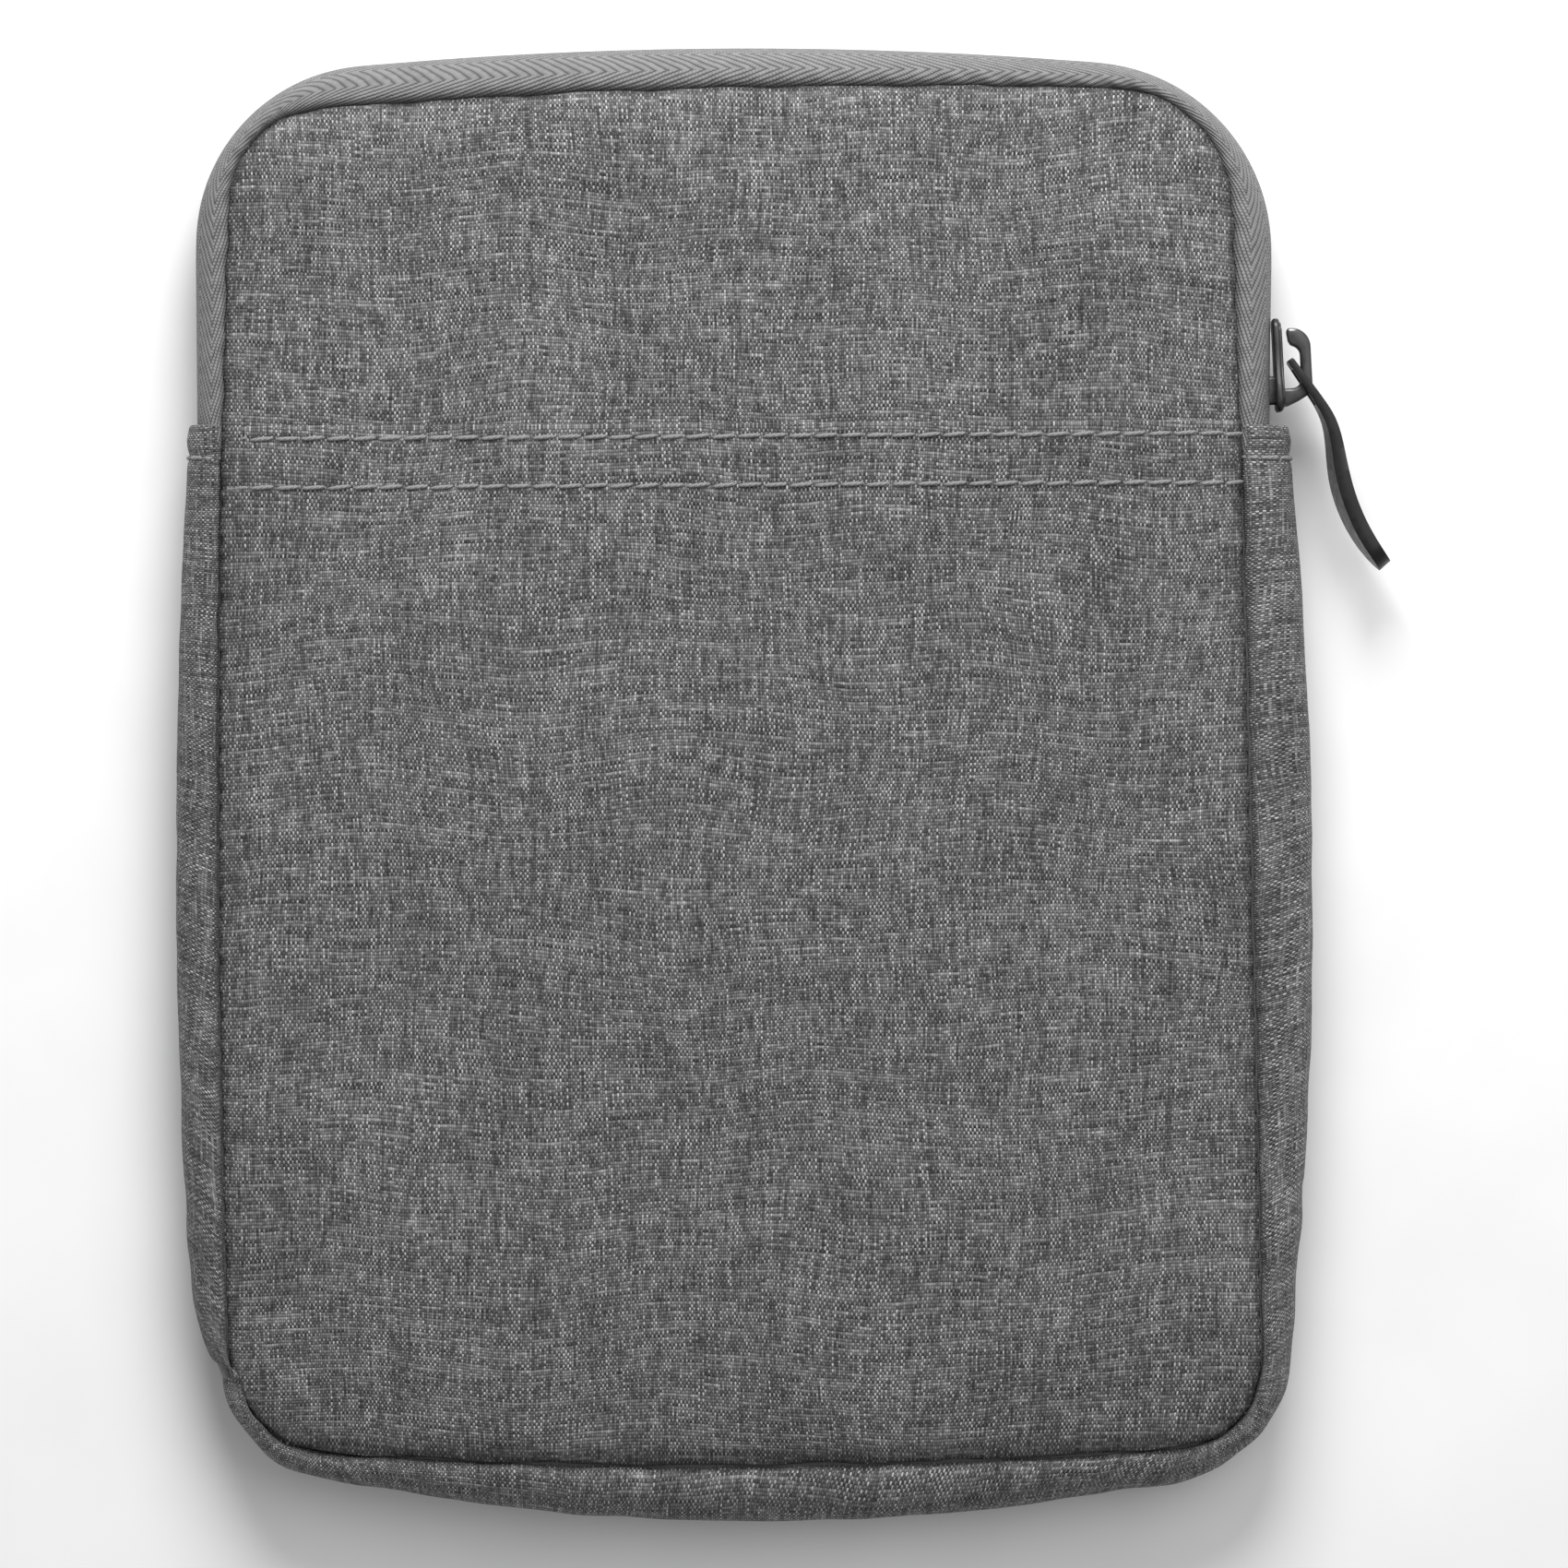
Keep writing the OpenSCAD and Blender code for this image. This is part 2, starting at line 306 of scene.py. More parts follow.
def melange_material(name, tone=1.0):
    """Plain weave of light and dark slub yarns; the UV map is the cloth's own plane in metres."""
    n = Nodes(name)
    u, v = n.uv()
    place = n.vector(u, v)

    # the yarns wander and the whole cloth is pulled a little out of square
    drift = n.minus(n.noise(place, 26.0, 1.0), 0.5)
    sway = n.minus(n.noise(place, 420.0, 2.0), 0.5)
    a = n.over(u, WARP_PITCH)
    a = n.scaled(drift, 18.0, n.scaled(sway, 0.9, a))
    turned = n.vector(v, u, 3.0)
    drift_across = n.minus(n.noise(turned, 24.0, 1.0), 0.5)
    sway_across = n.minus(n.noise(turned, 380.0, 2.0), 0.5)
    b = n.over(v, WEFT_PITCH)
    b = n.scaled(drift_across, 16.0, n.scaled(sway_across, 0.8, b))

    # each yarn is a round ridge that dips under every other crossing
    warp_no, weft_no = n.math("FLOOR", a), n.math("FLOOR", b)
    across_warp = n.math("COSINE", n.times(n.minus(n.math("FRACT", a), 0.5), math.pi))
    across_weft = n.math("COSINE", n.times(n.minus(n.math("FRACT", b), 0.5), math.pi))
    parity = n.math("FLOORED_MODULO", n.plus(warp_no, weft_no), 2.0)
    side = n.scaled(parity, 2.0, -1.0)
    warp_h = n.plus(across_warp, n.times(side, n.times(across_weft, 0.8)))
    weft_h = n.minus(across_weft, n.times(side, n.times(across_warp, 0.8)))
    height = n.math("MAXIMUM", warp_h, weft_h)
    warp_over = n.spread(n.minus(warp_h, weft_h), -0.1, 0.1)

    # slubs run along the yarns; every yarn and every float also has its own tone
    warp_slub = n.noise(n.vector(n.times(warp_no, 7.31), n.times(b, 0.09)), 1.0, 3.0, 0.7)
    weft_slub = n.noise(n.vector(n.times(a, 0.05), n.times(weft_no, 5.77)), 1.0, 3.0, 0.7)
    warp_own = n.white(n.vector(warp_no, 0.5, 0.5))
    weft_own = n.white(n.vector(0.5, weft_no, 1.5))
    per_float = n.white(n.vector(warp_no, weft_no, 0.5))
    warp_tone = n.scaled(warp_own, 0.22, n.spread(warp_slub, 0.32, 0.68, 0.02, 1.08))
    weft_tone = n.scaled(weft_own, 0.2, n.spread(weft_slub, 0.3, 0.7, -0.3, 0.72))
    yarn_tone = n.scaled(per_float, 0.3, n.blend(warp_over, weft_tone, warp_tone))
    cloud = n.noise(place, 55.0, 3.0, 0.6)
    yarn_tone = n.scaled(n.minus(cloud, 0.5), 0.27, n.times(yarn_tone, 0.78))
    greys = [(0.0, 0.04), (0.3, 0.11), (0.55, 0.25), (0.78, 0.46), (1.0, 0.72)]
    colour = n.ramp(yarn_tone, [(place_on, grey * tone) for place_on, grey in greys])
    # painted shade: each float darker towards its sides and ends, where it dips between the crossing yarns
    ends = n.scaled(n.blend(warp_over, across_warp, across_weft), 0.35, 0.65)
    crown = n.times(n.blend(warp_over, across_weft, across_warp), ends)
    # painted shade near the seams, standing in for the shade in their valleys
    shade = n.times(n.spread(crown, 0.1, 0.9, 0.36, 1.0), n.seam_painted_shade(0.6, 0.9 * MM))
    mix = n.tree.nodes.new("ShaderNodeMix")
    mix.data_type = "RGBA"
    mix.blend_type = "MULTIPLY"
    mix.inputs["Factor"].default_value = 1.0
    n.feed(mix.inputs["A"], colour)
    n.feed(mix.inputs["B"], n.vector(shade, shade, shade))
    fibre = n.noise(place, 9000.0, 2.0)
    relief = n.scaled(fibre, 0.3, height)
    return n.finish(
        Base_Color=mix.outputs["Result"], Roughness=n.spread(fibre, 0.3, 0.7, 0.82, 0.95),
        Normal=n.bump(relief, 0.00008, 0.9), Sheen_Weight=0.1, Sheen_Roughness=0.5,
        Specular_IOR_Level=0.2)


def tape_material():
    """Herringbone zip tape: ribs that turn back along a line near the tape's middle."""
    n = Nodes("herringbone_tape")
    u, v = n.uv()
    away = n.math("PINGPONG", v, TAPE_ZONE)
    sway = n.times(n.minus(n.noise(n.vector(u, v), 350.0, 2.0), 0.5), 0.5)
    along = n.scaled(away, RIB_SLANT, u)
    phase = n.plus(n.over(along, RIB_PITCH), sway)
    rib_no = n.math("FLOOR", phase)
    rib = n.math("POWER", n.sine(n.times(n.math("FRACT", phase), math.pi)), 0.6)
    crossing = n.over(n.scaled(away, -0.6, u), PICK_PITCH)
    picks = n.sine(n.times(n.plus(crossing, n.times(rib_no, 0.5)), math.tau))
    relief = n.scaled(picks, 0.16, rib)
    own = n.scaled(n.white(n.vector(rib_no, 0.5, 0.5)), 0.08,
                 n.times(n.noise(n.vector(u, v), 700.0, 3.0), 0.34))
    # painted shade: the colour follows the relief, darker in the grooves between ribs and between picks
    value = n.scaled(n.spread(relief, 0.05, 1.05), 0.56, own)
    # painted shade near the seam, standing in for the shade in its valley
    value = n.times(value, n.seam_painted_shade(0.5, 1.2 * MM))
    colour = n.ramp(value, [(0.0, 0.035), (0.35, 0.115), (0.7, 0.215), (1.0, 0.3)])
    return n.finish(Base_Color=colour, Roughness=0.8, Normal=n.bump(relief, 0.00018, 1.0),
                    Sheen_Weight=0.12, Sheen_Roughness=0.4, Specular_IOR_Level=0.3)


def thread_material(name, low, high):
    n = Nodes(name)
    u, v = n.uv()
    twist = n.sine(n.plus(n.over(u, 0.13 * MM), n.over(v, 0.09 * MM)))
    fibre = n.noise(n.vector(u, v), 6000.0, 2.0)
    value = n.scaled(twist, 0.2, fibre)
    colour = n.ramp(value, [(0.2, low), (0.8, high)])
    return n.finish(Base_Color=colour, Roughness=0.62, Normal=n.bump(twist, 0.00005, 0.6),
                    Sheen_Weight=0.2, Specular_IOR_Level=0.4)


def lining_material():
    """Brushed knit lining with a short nap."""
    n = Nodes("brushed_lining")
    u, v = n.uv()
    place = n.vector(u, v)
    nap = n.noise(place, 1500.0, 3.0, 0.6)
    patch = n.noise(place, 60.0, 2.0)
    loops = n.times(n.sine(n.over(u, 0.1 * MM)), n.sine(n.over(v, 0.13 * MM)))
    value = n.scaled(patch, 0.35, n.times(nap, 0.65))
    colour = n.ramp(value, [(0.25, 0.055), (0.55, 0.09), (0.8, 0.15)])
    relief = n.scaled(loops, 0.3, nap)
    return n.finish(Base_Color=colour, Roughness=0.95, Normal=n.bump(relief, 0.0002, 0.6),
                    Sheen_Weight=0.35, Sheen_Roughness=0.6, Specular_IOR_Level=0.15)


def binding_material():
    n = Nodes("ribbed_binding")
    u, v = n.uv()
    rib = n.sine(n.over(u, 0.085 * MM))
    wear = n.noise(n.vector(u, v), 900.0, 2.0)
    value = n.scaled(rib, 0.15, wear)
    colour = n.ramp(value, [(0.2, 0.018), (0.8, 0.06)])
    return n.finish(Base_Color=colour, Roughness=0.75, Normal=n.bump(rib, 0.00008, 0.7),
                    Sheen_Weight=0.2, Specular_IOR_Level=0.3)


def foam_material():
    n = Nodes("closed_cell_foam")
    place = n.object_place()
    cells = n.tree.nodes.new("ShaderNodeTexVoronoi")
    cells.inputs["Scale"].default_value = 1400.0
    n.feed(cells.inputs["Vector"], place)
    depth = cells.outputs["Distance"]
    return n.finish(Base_Color=n.ramp(depth, [(0.0, 0.45), (0.6, 0.68)]), Roughness=0.85,
                    Normal=n.bump(depth, 0.0002, 0.5), Specular_IOR_Level=0.3)


def coil_material():
    n = Nodes("nylon_coil")
    place = n.object_place()
    mottle = n.noise(place, 1200.0, 2.0)
    colour = n.ramp(mottle, [(0.3, 0.05), (0.7, 0.12)])
    return n.finish(Base_Color=colour, Roughness=n.spread(mottle, 0.3, 0.7, 0.3, 0.45),
                    Normal=n.bump(mottle, 0.00003, 0.4))


def dark_metal_material(name, tone):
    """Dark plating on a die casting, rubbed on its edges."""
    n = Nodes(name)
    place = n.object_place()
    cast = n.noise(place, 900.0, 4.0, 0.6)
    smear = n.noise(place, 160.0, 2.0)
    geometry = n.tree.nodes.new("ShaderNodeNewGeometry")
    edge = n.spread(geometry.outputs["Pointiness"], 0.52, 0.6)
    value = n.scaled(edge, 0.5, n.times(n.plus(cast, smear), 0.25))
    colour = n.ramp(value, [(0.1, 0.025 * tone), (0.4, 0.055 * tone), (0.9, 0.19 * tone)])
    rough = n.scaled(edge, -0.08, n.spread(cast, 0.3, 0.7, 0.3, 0.48))
    return n.finish(Base_Color=colour, Metallic=0.75, Roughness=rough,
                    Normal=n.bump(cast, 0.00004, 0.35))


def floor_material():
    n = Nodes("pale_floor")
    speck = n.noise(n.object_place(), 40.0, 2.0)
    colour = n.ramp(speck, [(0.3, 0.86), (0.7, 0.9)])
    return n.finish(Base_Color=colour, Roughness=0.9, Specular_IOR_Level=0.1)


# ---------------------------------------------------------------- mesh helpers

def mesh_from(name, points, faces, uvs, material, seam_away=None):
    """Object from points in millimetres, faces and one UV pair per point, in metres.

    seam_away is each point's distance from the nearest seam, in millimetres."""
    mesh = bpy.data.meshes.new(name)
    mesh.from_pydata((np.asarray(points) * MM).tolist(), [], faces)
    corner_points = np.zeros(len(mesh.loops), np.int32)
    mesh.loops.foreach_get("vertex_index", corner_points)
    layer = mesh.uv_layers.new(name="cloth")
    layer.data.foreach_set("uv", np.asarray(uvs, float)[corner_points].ravel())
    far = np.full(len(points), 1000.0) if seam_away is None else np.asarray(seam_away).reshape(-1)
    edge = np.stack([far, np.zeros(len(points))], 1) * MM
    layer = mesh.uv_layers.new(name="edge")
    layer.data.foreach_set("uv", edge[corner_points].ravel())
    mesh.polygons.foreach_set("use_smooth", [True] * len(mesh.polygons))
    mesh.materials.append(material)
    piece = bpy.data.objects.new(name, mesh)
    bpy.context.scene.collection.objects.link(piece)
    return piece


def grid_faces(rows, columns, wrap=False):
    """Quads of a grid stored row by row; wrap joins the last row to the first."""
    faces = []
    for i in range(rows if wrap else rows - 1):
        a, b = i * columns, ((i + 1) % rows) * columns
        for j in range(columns - 1):
            faces.append((a + j, a + j + 1, b + j + 1, b + j))
    return faces


def apply_modifiers(piece):
    """Replaces the piece's mesh by its evaluated one, with no modifier left."""
    graph = bpy.context.evaluated_depsgraph_get()
    graph.update()
    made = bpy.data.meshes.new_from_object(piece.evaluated_get(graph), depsgraph=graph)
    piece.modifiers.clear()
    old, piece.data = piece.data, made
    bpy.data.meshes.remove(old)
    return piece


def sheet_from(name, points, uvs, material, seam_away=None):
    """Cloth surface from a grid of points, row by row."""
    return mesh_from(name, points.reshape(-1, 3), grid_faces(*points.shape[:2]), uvs, material, seam_away)


def thicken(piece, thickness):
    """Gives a cloth surface its thickness, towards its inner side."""
    solid = piece.modifiers.new("cloth", "SOLIDIFY")
    solid.thickness = thickness * MM
    solid.offset = -1
    return apply_modifiers(piece)


def unit(vectors):
    """The vectors at a length of 1."""
    return vectors / np.linalg.norm(vectors, axis=-1, keepdims=True)


def bell(x, centre, width):
    """Smooth hump of height 1."""
    return np.exp(-((x - centre) / width) ** 2)


def settled(away, reach):
    """0 at a seam, and close to 1 from a few times the reach away."""
    return 1 - np.exp(-away / reach)


def joined(parts):
    """Points and faces of several parts as one."""
    points, faces, count = [], [], 0
    for part_points, part_faces in parts:
        points.append(part_points)
        faces += [tuple(i + count for i in face) for face in part_faces]
        count += len(part_points)
    return np.concatenate(points), faces


def arc_length(points):
    """Distance along a run of points, starting at 0."""
    steps = np.linalg.norm(np.diff(points, axis=0), axis=1)
    return np.concatenate([[0], np.cumsum(steps)])


def sample_noise(points, scale, seed):
    """Perlin noise at each point, from -1 to 1; scale is per millimetre."""
    shift = Vector((seed * 13.1, seed * 7.7, seed * 3.3))
    flat = points.reshape(-1, points.shape[-1])
    pad = np.zeros((len(flat), 3))
    pad[:, :flat.shape[1]] = flat * scale
    values = [noise.noise(Vector(p) + shift) for p in pad]
    return np.array(values).reshape(points.shape[:-1])


# ---------------------------------------------------------------- outlines

SIDE_POINTS, END_POINTS, CORNER_POINTS = 420, 300, 120


def rounded_loop(corners, bows, soften):
    """Closed outline, counter-clockwise from the top of the left side.

    corners are (x, y, radius) for top left, bottom left, bottom right and top right. bows say how far
    the left, bottom, right and top sides swell. soften is the width of the smoothing, in points."""
    counts = [SIDE_POINTS, END_POINTS, SIDE_POINTS, END_POINTS]
    places = [np.array(corner[:2], float) for corner in corners]
    points = []
    for i in range(4):
        here, after, beyond = (places[(i + k) % 4] for k in range(3))
        start_r, r = corners[i][2], corners[(i + 1) % 4][2]
        along = (after - here) / np.linalg.norm(after - here)
        outward = np.array([along[1], -along[0]])
        start = here + along * start_r
        end = after - along * r
        t = np.linspace(0, 1, counts[i], endpoint=False)[:, None]
        points.append(start + (end - start) * t + outward * bows[i] * (1 - (2 * t - 1) ** 2))
        turn = (beyond - after) / np.linalg.norm(beyond - after)
        angle = np.linspace(0, math.pi / 2, CORNER_POINTS, endpoint=False)[:, None]
        centre = after - along * r + turn * r
        points.append(centre - turn * r * np.cos(angle) + along * r * np.sin(angle))
    loop = np.concatenate(points)
    reach = int(4 * soften)
    kernel = np.exp(-0.5 * (np.arange(-reach, reach + 1) / soften) ** 2)
    kernel /= kernel.sum()
    padded = np.concatenate([loop[-reach:], loop, loop[:reach]])
    return np.stack([np.convolve(padded[:, k], kernel, "valid") for k in range(2)], 1)


def pick(loop, places):
    """Points of a loop at fractional indices, which may run past its end."""
    places = np.asarray(places) % len(loop)
    low = np.floor(places).astype(int)
    share = (places - low)[:, None]
    return loop[low] * (1 - share) + loop[(low + 1) % len(loop)] * share


LOOP_POINTS = 2 * SIDE_POINTS + 2 * END_POINTS + 4 * CORNER_POINTS
BOTTOM_LEFT = SIDE_POINTS + CORNER_POINTS / 2
BOTTOM_RIGHT = SIDE_POINTS + CORNER_POINTS * 1.5 + END_POINTS
TOP_RIGHT = BOTTOM_RIGHT + CORNER_POINTS + SIDE_POINTS
TOP_LEFT = LOOP_POINTS - CORNER_POINTS / 2

# the seam line, where the panels meet the sides
seam = rounded_loop(
    [(flap_low[0] + 0.6, flap_high[1] - 4.6, 13), (pocket_low[0] + 1.4, pocket_low[1] + 2.9, 15),
     (pocket_high[0] + 0.6, pocket_low[1] + 4.0, 12), (flap_high[0] - 0.3, flap_high[1] - 0.9, 17)],
    [1.4, 2.0, 0.2, 1.5], 7)
seam += np.stack([0.22 * sample_noise(seam, 0.25, 61), 0.22 * sample_noise(seam, 0.25, 62)], 1)
# the widest line of the zip tapes
tape_line = rounded_loop(
    [(tape_low[0] - 0.4, tape_high[1] - 2.8, 25), (tape_low[0] - 1, gusset_low[1] + 6, 18),
     (tape_high[0] + 4, gusset_low[1] + 6, 18), (tape_high[0] - 0.4, tape_high[1] - 2.1, 26)],
    [-0.6, 5, -1.7, 2.1], 7)
# the widest line of the gusset
gusset_line = rounded_loop(
    [(tape_low[0] + 1.0, tape_high[1] - 2, 26), (gusset_low[0] + 1.7, gusset_low[1] + 5.6, 23),
     (gusset_high[0] - 2.6, gusset_low[1] + 5.0, 21), (tape_high[0] - 1.6, tape_high[1] - 2, 26)],
    [3.0, 5.2, 4.7, 2.0], 7)


def place_at_y(loop, y, left):
    """Fractional index at which a side of the loop has that y."""
    first = 0 if left else SIDE_POINTS + 2 * CORNER_POINTS + END_POINTS
    side = loop[first:first + SIDE_POINTS, 1]
    order = np.arange(SIDE_POINTS)
    return first + (np.interp(-y, -side, order) if left else np.interp(y, side, order))


def inside_distance(points):
    """How far points in plan are from the seam line."""
    flat = points.reshape(-1, 2)
    line = seam[::3]
    out = np.empty(len(flat))
    for k in range(0, len(flat), 4000):
        part = flat[k:k + 4000]
        out[k:k + 4000] = np.sqrt(((part[:, None, :] - line[None]) ** 2).sum(2).min(1))
    return out.reshape(points.shape[:-1])


def coons(bottom, top, left, right):
    """Grid that fills four edges; bottom and top run left to right, left and right run upwards."""
    u = np.linspace(0, 1, len(bottom))[None, :, None]
    v = np.linspace(0, 1, len(left))[:, None, None]
    edges = (1 - v) * bottom[None] + v * top[None] + (1 - u) * left[:, None] + u * right[:, None]
    corners = ((1 - u) * (1 - v) * bottom[0] + u * (1 - v) * bottom[-1]
               + (1 - u) * v * top[0] + u * v * top[-1])
    return edges - corners


def face_grid(rows, columns, inset=0.0):
    """Plan grid of a whole face, inside the seam line."""
    loop = inset_loop(seam, inset)
    bottom = pick(loop, np.linspace(BOTTOM_LEFT, BOTTOM_RIGHT, columns))
    right = pick(loop, np.linspace(BOTTOM_RIGHT, TOP_RIGHT, rows))
    top = pick(loop, np.linspace(TOP_LEFT, TOP_RIGHT, columns))
    left = pick(loop, np.linspace(BOTTOM_LEFT, TOP_LEFT - LOOP_POINTS, rows))
    return coons(bottom, top, left, right)


def inset_loop(loop, inset):
    """The loop moved inwards, or the loop itself for an inset of 0."""
    ahead = unit(np.roll(loop, -3, 0) - np.roll(loop, 3, 0))
    return loop + inset * np.stack([-ahead[:, 1], ahead[:, 0]], 1)


def surface_uv(flat):
    """UV pairs, in metres, from places on the flat cut in millimetres."""
    return (flat * MM).reshape(-1, 2)


# ---------------------------------------------------------------- front, back and pocket

def puckers(plan, away, strength, seed):
    """Small gathers that the seam pulls into the cloth, fading away from it."""
    stitch = sample_noise(plan, 0.3, seed) * np.exp(-away / 2.5)
    return strength * (0.7 * stitch + sample_noise(plan, 0.12, seed + 50) * np.exp(-away / 7))


def front_height(plan):
    """Outside of the front panel."""
    away = inside_distance(plan)
    # a tight roll at the seam, then a long soft one, longest at the bottom
    reach = 5 + 3.5 / (1 + np.exp((plan[..., 1] + 70) / 12))
    rise = 0.72 * settled(away, 1.1) + 0.28 * settled(away, reach)
    edge_z = FRONT_SEAM_Z - SEAM_DEPTH
    z = edge_z + (FRONT_TOP_Z - edge_z) * rise + 0.5 * settled(away, 30)
    dents = 0.3 * sample_noise(plan, 0.03, 2) + 0.1 * sample_noise(plan, 0.09, 3)
    return z + (puckers(plan, away, 0.5, 1) + dents) * rise


def hem_line(x):
    """The hem runs a little uphill towards the slider."""
    return hem_y - 0.3 + 0.006 * x


def pocket_height(plan):
    """Outside of the pocket panel, which stands off the front most near its mouth."""
    away = inside_distance(plan)
    rise = settled(away, 1.6)
    x, below = plan[..., 0], hem_line(plan[..., 0]) - plan[..., 1]
    gape = (0.25 + 1.1 / (1 + np.exp(-(x - 12) / 16))) * np.exp(-np.maximum(below, 0) / 16)
    z = front_height(plan) + rise * (0.95 + gape)
    rows = sum(bell(below, row, 0.8) for row in HEM_ROWS)
    return z - 0.16 * rows * rise + 0.12 * sample_noise(plan, 0.06, 5) * rise


def fold_under(points, radius, tuck):
    """Rows that carry the pocket's last row round the hem fold and back under it."""
    last = points[-1]
    rows = []
    for k in range(1, 7):
        angle = math.pi * k / 6
        rows.append(last + np.array([0, radius * math.sin(angle), -radius * (1 - math.cos(angle))]))
    for k in range(1, 9):
        plan = last[:, :2] - np.array([0, tuck * k / 8])
        rows.append(np.column_stack([plan, pocket_height(plan) - 2 * radius]))
    return np.concatenate([points, np.array(rows)])


def front_cloth(material):
    plan = face_grid(*FRONT_GRID)
    piece = sheet_from("front_cloth", np.dstack([plan, front_height(plan)]), surface_uv(plan), material,
                       inside_distance(plan))
    return thicken(piece, CLOTH_T)


def back_cloth(material):
    plan = face_grid(*BACK_GRID)
    away = inside_distance(plan)
    z = back_low[2] + BACK_SEAM_Z * np.exp(-away / 2.2)
    z = z + np.abs(puckers(plan, away, 0.4, 8)) * settled(away, 1.5)
    points, plan, away = np.dstack([plan, z])[:, ::-1], plan[:, ::-1], away[:, ::-1]
    piece = sheet_from("back_cloth", points, surface_uv(plan), material, away)
    return thicken(piece, CLOTH_T)


def pocket_grid(rows, columns, top_y, inset=0.0):
    """Plan grid of the pocket, up to a line given as a function of x."""
    loop = inset_loop(seam, inset)
    left_end = place_at_y(loop, top_y(loop[:SIDE_POINTS, 0].mean()), True)
    right_end = place_at_y(loop, top_y(pocket_high[0]), False)
    bottom = pick(loop, np.linspace(BOTTOM_LEFT, BOTTOM_RIGHT, columns))
    left = pick(loop, np.linspace(BOTTOM_LEFT, left_end, rows))
    right = pick(loop, np.linspace(BOTTOM_RIGHT, right_end, rows))
    x = np.linspace(left[-1, 0], right[-1, 0], columns)
    top = np.stack([x, np.interp(x, [x[0], x[-1]], [left[-1, 1], right[-1, 1]])], 1)
    return coons(bottom, top, left, right)


def pocket_cloth(material):
    plan = pocket_grid(*POCKET_GRID, hem_line)
    points = np.dstack([plan, pocket_height(plan)])
    folded = fold_under(points, 0.42, pocket_high[1] - stitch_low[1] + 0.8)
    extra = folded[len(points):, :, :2].copy()
    extra[:, :, 1] = 2 * plan[-1, :, 1] - extra[:, :, 1]
    uv = np.concatenate([plan, extra])
    piece = sheet_from("pocket_cloth", folded, surface_uv(uv), material, inside_distance(folded[..., :2]))
    return thicken(piece, THIN_CLOTH_T)


def pocket_lining_cloth(material):
    plan = pocket_grid(*POCKET_LINING_GRID, lambda x: hem_line(x) - 9.5, 1.2)
    z = front_height(plan) + 0.3
    piece = sheet_from("pocket_lining_cloth", np.dstack([plan, z]), surface_uv(plan), material)
    return thicken(piece, POCKET_LINING_T)


# ---------------------------------------------------------------- gusset and zip tapes

def side_profile(t, square):
    """Share of the way out and of the height, from a seam (t = 0) to the widest line (t = 1)."""
    a = t * math.pi / 2
    return np.sin(a) ** square, np.cos(a) ** square


def side_surface(inner, outer, seam_z, rows_t, square, valley):
    """Points from the seam line to the widest line, for each place along the side."""
    out, high = side_profile(rows_t, square)
    plan = inner[:, None] + (outer - inner)[:, None] * out[None, :, None]
    z = mid_z + (seam_z - mid_z) * high[None, :] * np.ones((len(inner), 1))
    reach = np.linalg.norm(plan - inner[:, None], axis=2)
    toward = 1 if seam_z > mid_z else -1
    z = z - toward * valley * np.exp(-reach / 0.6)
    return np.dstack([plan, z])


def strip_uv(points):
    """UV of a strip: distance along its widest line, and distance from the seam."""
    middle = points[:, points.shape[1] // 2]
    along = arc_length(middle)
    across = np.zeros(points.shape[:2])
    steps = np.linalg.norm(np.diff(points, axis=1), axis=2)
    across[:, 1:] = np.cumsum(steps, axis=1)
    across = np.broadcast_to(across.mean(0), across.shape)
    return np.dstack([np.broadcast_to(along[:, None], across.shape), across])


def rungs(outer_loop, y, count, over_top=False):
    """Matching points on the seam and on an outer line, from one side at y to the other side at y."""
    matched = []
    for loop in (seam, outer_loop):
        left, right = place_at_y(loop, y, True), place_at_y(loop, y, False)
        first, last = (right, left + LOOP_POINTS) if over_top else (left, right)
        matched.append(pick(loop, np.linspace(first, last, count)))
    return matched


def gusset_points(y, count, grow=0.0):
    inner, outer = rungs(gusset_line, y, count)
    out = outer - inner
    outer = outer + grow * out / np.linalg.norm(out, axis=1)[:, None]
    t = np.linspace(0, 1, 17)
    front = side_surface(inner, outer, FRONT_SEAM_Z + 0.7, t, 0.78, SEAM_DEPTH + 0.5)
    back = side_surface(inner, outer, BACK_SEAM_Z + 0.2, t, 0.78, 0.15)
    return np.concatenate([front, back[:, -2::-1]], axis=1)


def end_distance(points):
    """How far along the strip each place is from its nearer end."""
    along = arc_length(points[:, points.shape[1] // 2])
    return np.minimum(along, along[-1] - along)[:, None]


def shape_gusset(points):
    """Gathers at the seams and the corners, and the folded, stitched ends."""
    centre = np.array([0, 0, mid_z])
    outward = unit((points - centre) * [1, 0.7, 1])
    columns = points.shape[1]
    v = np.linspace(-1, 1, columns)[None, :]
    near_seam = np.abs(v) ** 3
    along = arc_length(points[:, columns // 2])
    ripple = np.dstack(np.broadcast_arrays(along[:, None] * 0.16, v * 0.9))
    corner = bell(np.abs(points[:, :1, 0]), 62, 14) * (points[:, :1, 1] < -60)
    gathers = sample_noise(ripple, 1.0, 11) * (0.22 + 0.5 * corner + 0.25 * near_seam)
    away = end_distance(points)
    bulge = 0.3 * bell(away, 1.6, 1.6) - 0.45 * bell(away, END_STITCH, 0.7)
    # the strip is creased where it starts round the lower left corner
    down = points[:, columns // 2:columns // 2 + 1, 1] - gusset_low[1] - 20.3
    left = points[:, columns // 2:columns // 2 + 1, 0] < 0
    notch = bell(down + np.abs(down) * 0.4, 0, 1.3)
    crease = left * (2.1 * bell(down, 0, 8) + 0.8 * notch)
    lift = (gathers * settled(away, 6) + bulge - crease) * np.sqrt(np.clip(1 - np.abs(v) ** 6, 0, 1))
    return points + outward * lift[..., None]


def level_out(line):
    """Directions out of the sleeve, square to Y, along a line across the gusset."""
    out = line - np.array([line[[0, -1], 0].mean(), 0, mid_z])
    out[:, 1] = 0
    return unit(out)


